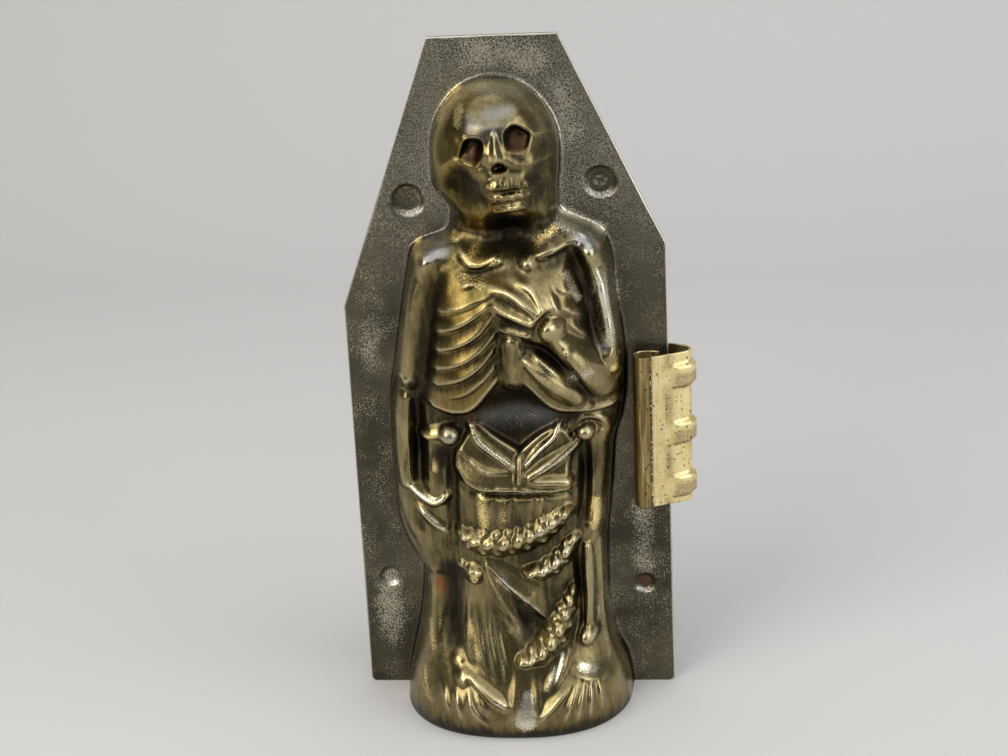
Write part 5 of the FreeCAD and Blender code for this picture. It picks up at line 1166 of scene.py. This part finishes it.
class Finish:
    """A node material with short calls for the nodes that the finishes here are made of."""

    def __init__(self, name):
        self.material = bpy.data.materials.new(name)
        self.material.use_nodes = True
        self.tree = self.material.node_tree
        self.shader = self.tree.nodes["Principled BSDF"]

    def put(self, socket, value):
        """Links a node's output into a socket, or sets the socket where value is a constant."""
        if isinstance(value, bpy.types.NodeSocket):
            self.tree.links.new(value, socket)
        else:
            socket.default_value = value

    def place(self, scale):
        """Object coordinates in millimetres, multiplied by a scale along each axis."""
        coordinates = self.tree.nodes.new("ShaderNodeTexCoord")
        mapping = self.tree.nodes.new("ShaderNodeMapping")
        mapping.inputs["Scale"].default_value = [s / MM for s in scale]
        self.tree.links.new(coordinates.outputs["Object"], mapping.inputs["Vector"])
        return mapping.outputs["Vector"]

    def field(self, name):
        """A point attribute of the piece."""
        node = self.tree.nodes.new("ShaderNodeAttribute")
        node.attribute_name = name
        return node.outputs["Fac"]

    def noise(self, size, detail, roughness, scale=(1, 1, 1)):
        """Soft noise whose blotches are about size millimetres across."""
        node = self.tree.nodes.new("ShaderNodeTexNoise")
        self.put(node.inputs["Vector"], self.place(scale))
        node.inputs["Scale"].default_value = 1.0 / size
        node.inputs["Detail"].default_value = detail
        node.inputs["Roughness"].default_value = roughness
        return node.outputs["Fac"]

    def sums(self, operation, first, second):
        """One arithmetic step on two numbers or outputs."""
        node = self.tree.nodes.new("ShaderNodeMath")
        node.operation = operation
        for socket, value in zip(node.inputs, (first, second)):
            self.put(socket, value)
        return node.outputs["Value"]

    def between(self, value, low, high, to_low=0.0, to_high=1.0):
        """Maps low..high smoothly onto to_low..to_high, and holds the ends."""
        node = self.tree.nodes.new("ShaderNodeMapRange")
        node.interpolation_type = "SMOOTHSTEP"
        for socket, number in zip(node.inputs, (value, low, high, to_low, to_high)):
            self.put(socket, number)
        return node.outputs["Result"]

    def blend(self, factor, first, second):
        """A mix of two colours."""
        node = self.tree.nodes.new("ShaderNodeMix")
        node.data_type = "RGBA"
        colours = [socket for socket in node.inputs if socket.type == "RGBA"]
        self.put(node.inputs["Factor"], factor)
        for socket, colour in zip(colours, (first, second)):
            self.put(socket, colour if isinstance(colour, bpy.types.NodeSocket) else (*colour, 1.0))
        return [socket for socket in node.outputs if socket.type == "RGBA"][0]

    def shades(self, value, stops):
        """A colour ramp over stops of (place, colour)."""
        node = self.tree.nodes.new("ShaderNodeValToRGB")
        ramp = node.color_ramp
        while len(ramp.elements) < len(stops):
            ramp.elements.new(1.0)
        for element, (place, colour) in zip(ramp.elements, stops):
            element.position = place
            element.color = (*colour, 1.0)
        self.put(node.inputs["Fac"], value)
        return node.outputs["Color"]

    def bump(self, height, distance):
        """Fine relief on the shading, distance millimetres deep."""
        node = self.tree.nodes.new("ShaderNodeBump")
        node.inputs["Distance"].default_value = distance * MM
        self.put(node.inputs["Height"], height)
        self.put(self.shader.inputs["Normal"], node.outputs["Normal"])


# The tin's marks: sizes and relief in mm, what streaks add to the lift, and how far the lift is lowered
# towards the foot
tin_grain = 0.36
tin_blotch = 9.0
tin_cloud = 26.0
tin_streak = 1.1
streak_stretch = (1, 1, 0.16)
tin_relief = 0.025
front_streaking = 0.7
back_streaking = 0.35
foot_darkening = 2.6
# Colours of the tin, as metal
# Bronze from dark patina in the hollows to bright metal on raised forms; the bright end partly stands in for
# the light those forms catch
bronze_shades = [
    (0.0, (0.020, 0.017, 0.012)), (0.26, (0.066, 0.054, 0.030)), (0.46, (0.165, 0.131, 0.061)),
    (0.70, (0.26, 0.208, 0.096)), (1.0, (0.41, 0.34, 0.172))]
# Painted light: a yellower copy of the bronze shades, for the sides that face the lamp on the left
warm_lit_shades = [
    (0.0, (0.020, 0.015, 0.008)), (0.26, (0.058, 0.042, 0.016)), (0.46, (0.135, 0.098, 0.030)),
    (0.70, (0.215, 0.158, 0.048)), (1.0, (0.36, 0.28, 0.105))]
# Bright metal on the fine crests: wear, and a painted highlight along them
crest_wear_and_highlight = (0.56, 0.48, 0.28)
dark_plate = (0.062, 0.056, 0.040)
light_plate = (0.120, 0.108, 0.074)
plate_fleck = (0.50, 0.45, 0.31)
# The gold and silver specks are partly wear and partly painted highlights and glints; the khaki ones are wear
speck_and_highlight_colours = [("khaki", (0.56, 0.52, 0.40)), ("gold", (0.93, 0.73, 0.31)), ("silver", (0.82, 0.77, 0.61))]
# Rust stains, and a grey painted as a bluish reflection of the sky
stain_and_reflection_colours = [("cool_reflection", (0.40, 0.41, 0.43)), ("orange", (0.40, 0.13, 0.035)), ("red", (0.13, 0.060, 0.036))]
# Painted glint along the rim, and painted highlights on the dimples' lower walls and the discs' edges
rim_sparkle = (0.75, 0.72, 0.62)
# Painted highlight along the plate's cut edge
cut_edge_highlight = (0.78, 0.74, 0.62)

# The clip's marks and colours in the same way
brass_grain = 0.5
brass_blotch = 5.0
brass_scratch = 0.55
scratch_stretch = (1, 1, 0.05)
brass_speck = 0.8
brass_relief = 0.03
brass_shades = [(0.30, (0.72, 0.56, 0.24)), (0.50, (0.94, 0.78, 0.39)), (0.68, (0.98, 0.89, 0.55))]
rolled_shades = [(0.35, (0.20, 0.135, 0.05)), (0.60, (0.44, 0.34, 0.15)), (0.75, (0.75, 0.62, 0.33))]
shaded_brass = (0.46, 0.36, 0.18)
brass_dirt_and_shade = (0.065, 0.05, 0.025)


def aged_tin(name, streaking):
    """Old tinned sheet: dark speckled plate, and a figure aged to bronze, with pale tin showing on its
    crests.

    The lift attribute, which carries painted shade and light besides the patina, runs through a ramp from
    dark patina in the hollows to bright metal on raised forms, whose bright end also stands in for the
    light those forms catch. It is broken up by streaks, darker towards the foot, and blended towards a
    yellower copy of the ramp as painted light on the sides that face the lamp on the left. Strokes of
    wear, rust, painted highlights and painted bluish reflections lie over it, scattered by the grain, with
    painted highlights on the crests and along the cut edge, and a painted glint along the rim and on the
    dimples' lower walls.
    """
    finish = Finish(name)
    grain = finish.noise(tin_grain, 3.0, 0.7)
    blotch = finish.noise(tin_blotch, 4.0, 0.6)
    cloud = finish.noise(tin_cloud, 2.0, 0.5)
    streak = finish.noise(tin_streak, 3.0, 0.6, streak_stretch)
    figure = finish.field("figure")
    streaks = finish.between(streak, 0.25, 0.75, -streaking, streaking)
    # The lift carries the painted shade and light of the strokes added to it, besides patina and wear
    lightness = finish.sums("ADD", finish.field("lift"), streaks)
    lightness = finish.sums("ADD", lightness, finish.between(blotch, 0.3, 0.7, -0.6, 0.6))
    # Darker towards the foot
    lightness = finish.sums("SUBTRACT", lightness, finish.sums("MULTIPLY", finish.field("foot"), foot_darkening))
    tone = finish.between(lightness, -3.6, 4.2)
    bronze = finish.shades(tone, bronze_shades)
    warm_lit = finish.shades(tone, warm_lit_shades)
    # Painted yellowish light on the sides that face the lamp on the left
    bronze = finish.blend(finish.field("warm_light"), bronze, warm_lit)
    # The fine crests get bright metal: wear, and a painted highlight along them
    wear_and_painted_light = finish.between(grain, 0.35, 0.6, 0.35, 1.0)
    wear_and_painted_light = finish.sums("MULTIPLY", finish.between(finish.field("crest"), 0.10, 0.50), wear_and_painted_light)
    bronze = finish.blend(wear_and_painted_light, bronze, crest_wear_and_highlight)
    dark = finish.blend(finish.between(cloud, 0.35, 0.65), dark_plate, light_plate)
    worn_patch = finish.between(blotch, 0.40, 0.66, 0.05, 0.9)
    flecks = finish.sums("MULTIPLY", finish.between(grain, 0.53, 0.62), worn_patch)
    plate = finish.blend(flecks, dark, plate_fleck)
    metal = finish.blend(figure, plate, bronze)
    ragged = finish.between(blotch, 0.3, 0.7, -0.12, 0.12)
    ragged = finish.sums("ADD", finish.between(grain, 0.3, 0.7, -0.3, 0.3), ragged)
    # Specks and patches of wear, the gold and silver ones partly painted highlights and glints
    for field, colour in speck_and_highlight_colours:
        mask = finish.between(finish.sums("ADD", finish.field(field), ragged), 0.40, 0.85)
        metal = finish.blend(mask, metal, colour)
    # Rust stains, and painted bluish reflections of the sky
    for field, colour in stain_and_reflection_colours:
        mask = finish.sums("MULTIPLY", finish.field(field), finish.between(grain, 0.3, 0.6, 0.5, 0.95))
        metal = finish.blend(mask, metal, colour)
    # Painted glint along the rim, and painted highlights on the dimples' lower walls and the discs' edges
    sparkle = finish.sums("MULTIPLY", finish.field("rim"), finish.between(grain, 0.40, 0.55))
    metal = finish.blend(sparkle, metal, rim_sparkle)
    # Painted highlight along the plate's cut edge
    metal = finish.blend(finish.between(finish.field("edge"), 0.3, 1.0), metal, cut_edge_highlight)
    finish.put(finish.shader.inputs["Base Color"], metal)
    finish.shader.inputs["Metallic"].default_value = 1.0
    figure_rough = finish.between(lightness, -2.5, 1.5, 0.32, 0.18)
    figure_rough = finish.sums("ADD", finish.between(grain, 0.3, 0.7, 0.0, 0.12), figure_rough)
    figure_rough = finish.sums("MULTIPLY", figure_rough, figure)
    plate_rough = finish.between(grain, 0.35, 0.65, 0.50, 0.36)
    plate_rough = finish.sums("MULTIPLY", plate_rough, finish.sums("SUBTRACT", 1.0, figure))
    finish.put(finish.shader.inputs["Roughness"], finish.sums("ADD", figure_rough, plate_rough))
    finish.bump(finish.sums("ADD", grain, finish.sums("MULTIPLY", blotch, 2.0)), tin_relief)
    return finish.material


def clip_brass():
    """Brassy plated spring sheet: pale gold, speckled and scratched, with a soiled crease, painted shade
    on the ribs' lower halves and on the facets between them, darker lines along the ribs' feet and a
    darker inner face.
    """
    finish = Finish("clip_brass")
    grain = finish.noise(brass_grain, 3.0, 0.65)
    blotch = finish.noise(brass_blotch, 3.0, 0.6)
    scratch = finish.noise(brass_scratch, 2.0, 0.6, scratch_stretch)
    specks = finish.noise(brass_speck, 1.0, 0.5)
    uneven = finish.sums("ADD", finish.sums("MULTIPLY", blotch, 0.6), finish.sums("MULTIPLY", scratch, 0.4))
    gold = finish.shades(uneven, brass_shades)
    shaded = finish.sums("MULTIPLY", finish.field("shade"), finish.between(grain, 0.32, 0.62, 0.45, 0.95))
    gold = finish.blend(shaded, gold, shaded_brass)
    gold = finish.blend(finish.field("roll"), gold, finish.shades(scratch, rolled_shades))
    dirt_and_shade = finish.sums("MULTIPLY", finish.field("crease"), finish.between(grain, 0.34, 0.50))
    # Darker along each rib's lower edge
    under_rib_darkening = finish.sums("MULTIPLY", finish.field("rib_foot_darkening"), finish.between(grain, 0.40, 0.56))
    # Painted shade on the facets between the ribs
    facets = finish.sums("MULTIPLY", finish.field("facet"), finish.between(grain, 0.38, 0.68, 0.3, 0.9))
    for more in (under_rib_darkening, finish.between(specks, 0.67, 0.73), facets):
        dirt_and_shade = finish.sums("MAXIMUM", dirt_and_shade, more)
    gold = finish.blend(dirt_and_shade, gold, brass_dirt_and_shade)
    finish.put(finish.shader.inputs["Base Color"], gold)
    finish.shader.inputs["Metallic"].default_value = 1.0
    finish.put(finish.shader.inputs["Roughness"], finish.between(grain, 0.3, 0.7, 0.34, 0.50))
    finish.bump(finish.sums("ADD", grain, scratch), brass_relief)
    return finish.material


floor = studio_sweep()
floor_paint = Finish("pale_floor")
floor_paint.shader.inputs["Base Color"].default_value = floor_colour
floor_paint.shader.inputs["Roughness"].default_value = floor_roughness
floor.data.materials.append(floor_paint.material)
front.data.materials.append(aged_tin("front_tin", front_streaking))
back.data.materials.append(aged_tin("back_tin", back_streaking))
clip.data.materials.append(clip_brass())
for lamp in lamps:
    soft_lamp(*lamp)
world = bpy.data.worlds.new("studio")
bpy.context.scene.world = world
world.use_nodes = True
sky = world.node_tree.nodes["Background"]
sky.inputs["Color"].default_value = sky_colour
sky.inputs["Strength"].default_value = sky_strength
bpy.context.scene.view_settings.view_transform = "Standard"

# Camera at the photograph's viewing angle, fitted to the plate's corners
image_width = 1008
sensor_width = 36.0
focal_pixels = 1600.0
camera_pitch = 0.35775
camera_yaw = 0.09052
camera_roll = -0.04957
camera_place = (0.031657, -0.359162, 0.218051)
level_ahead = Vector((-math.sin(camera_yaw), math.cos(camera_yaw), 0))
ahead = level_ahead * math.cos(camera_pitch) - Vector((0, 0, 1)) * math.sin(camera_pitch)
right = ahead.cross(Vector((0, 0, 1))).normalized()
up = right.cross(ahead)
turned_right = right * math.cos(camera_roll) + up * math.sin(camera_roll)
turned_up = up * math.cos(camera_roll) - right * math.sin(camera_roll)
camera = bpy.data.objects.new("camera", bpy.data.cameras.new("camera"))
camera.data.sensor_width = sensor_width
camera.data.lens = sensor_width * focal_pixels / image_width
camera.data.clip_start = 0.01
axes = Matrix((turned_right, turned_up, -ahead)).transposed().to_4x4()
camera.matrix_world = Matrix.Translation(camera_place) @ axes
bpy.context.scene.collection.objects.link(camera)
bpy.context.scene.camera = camera
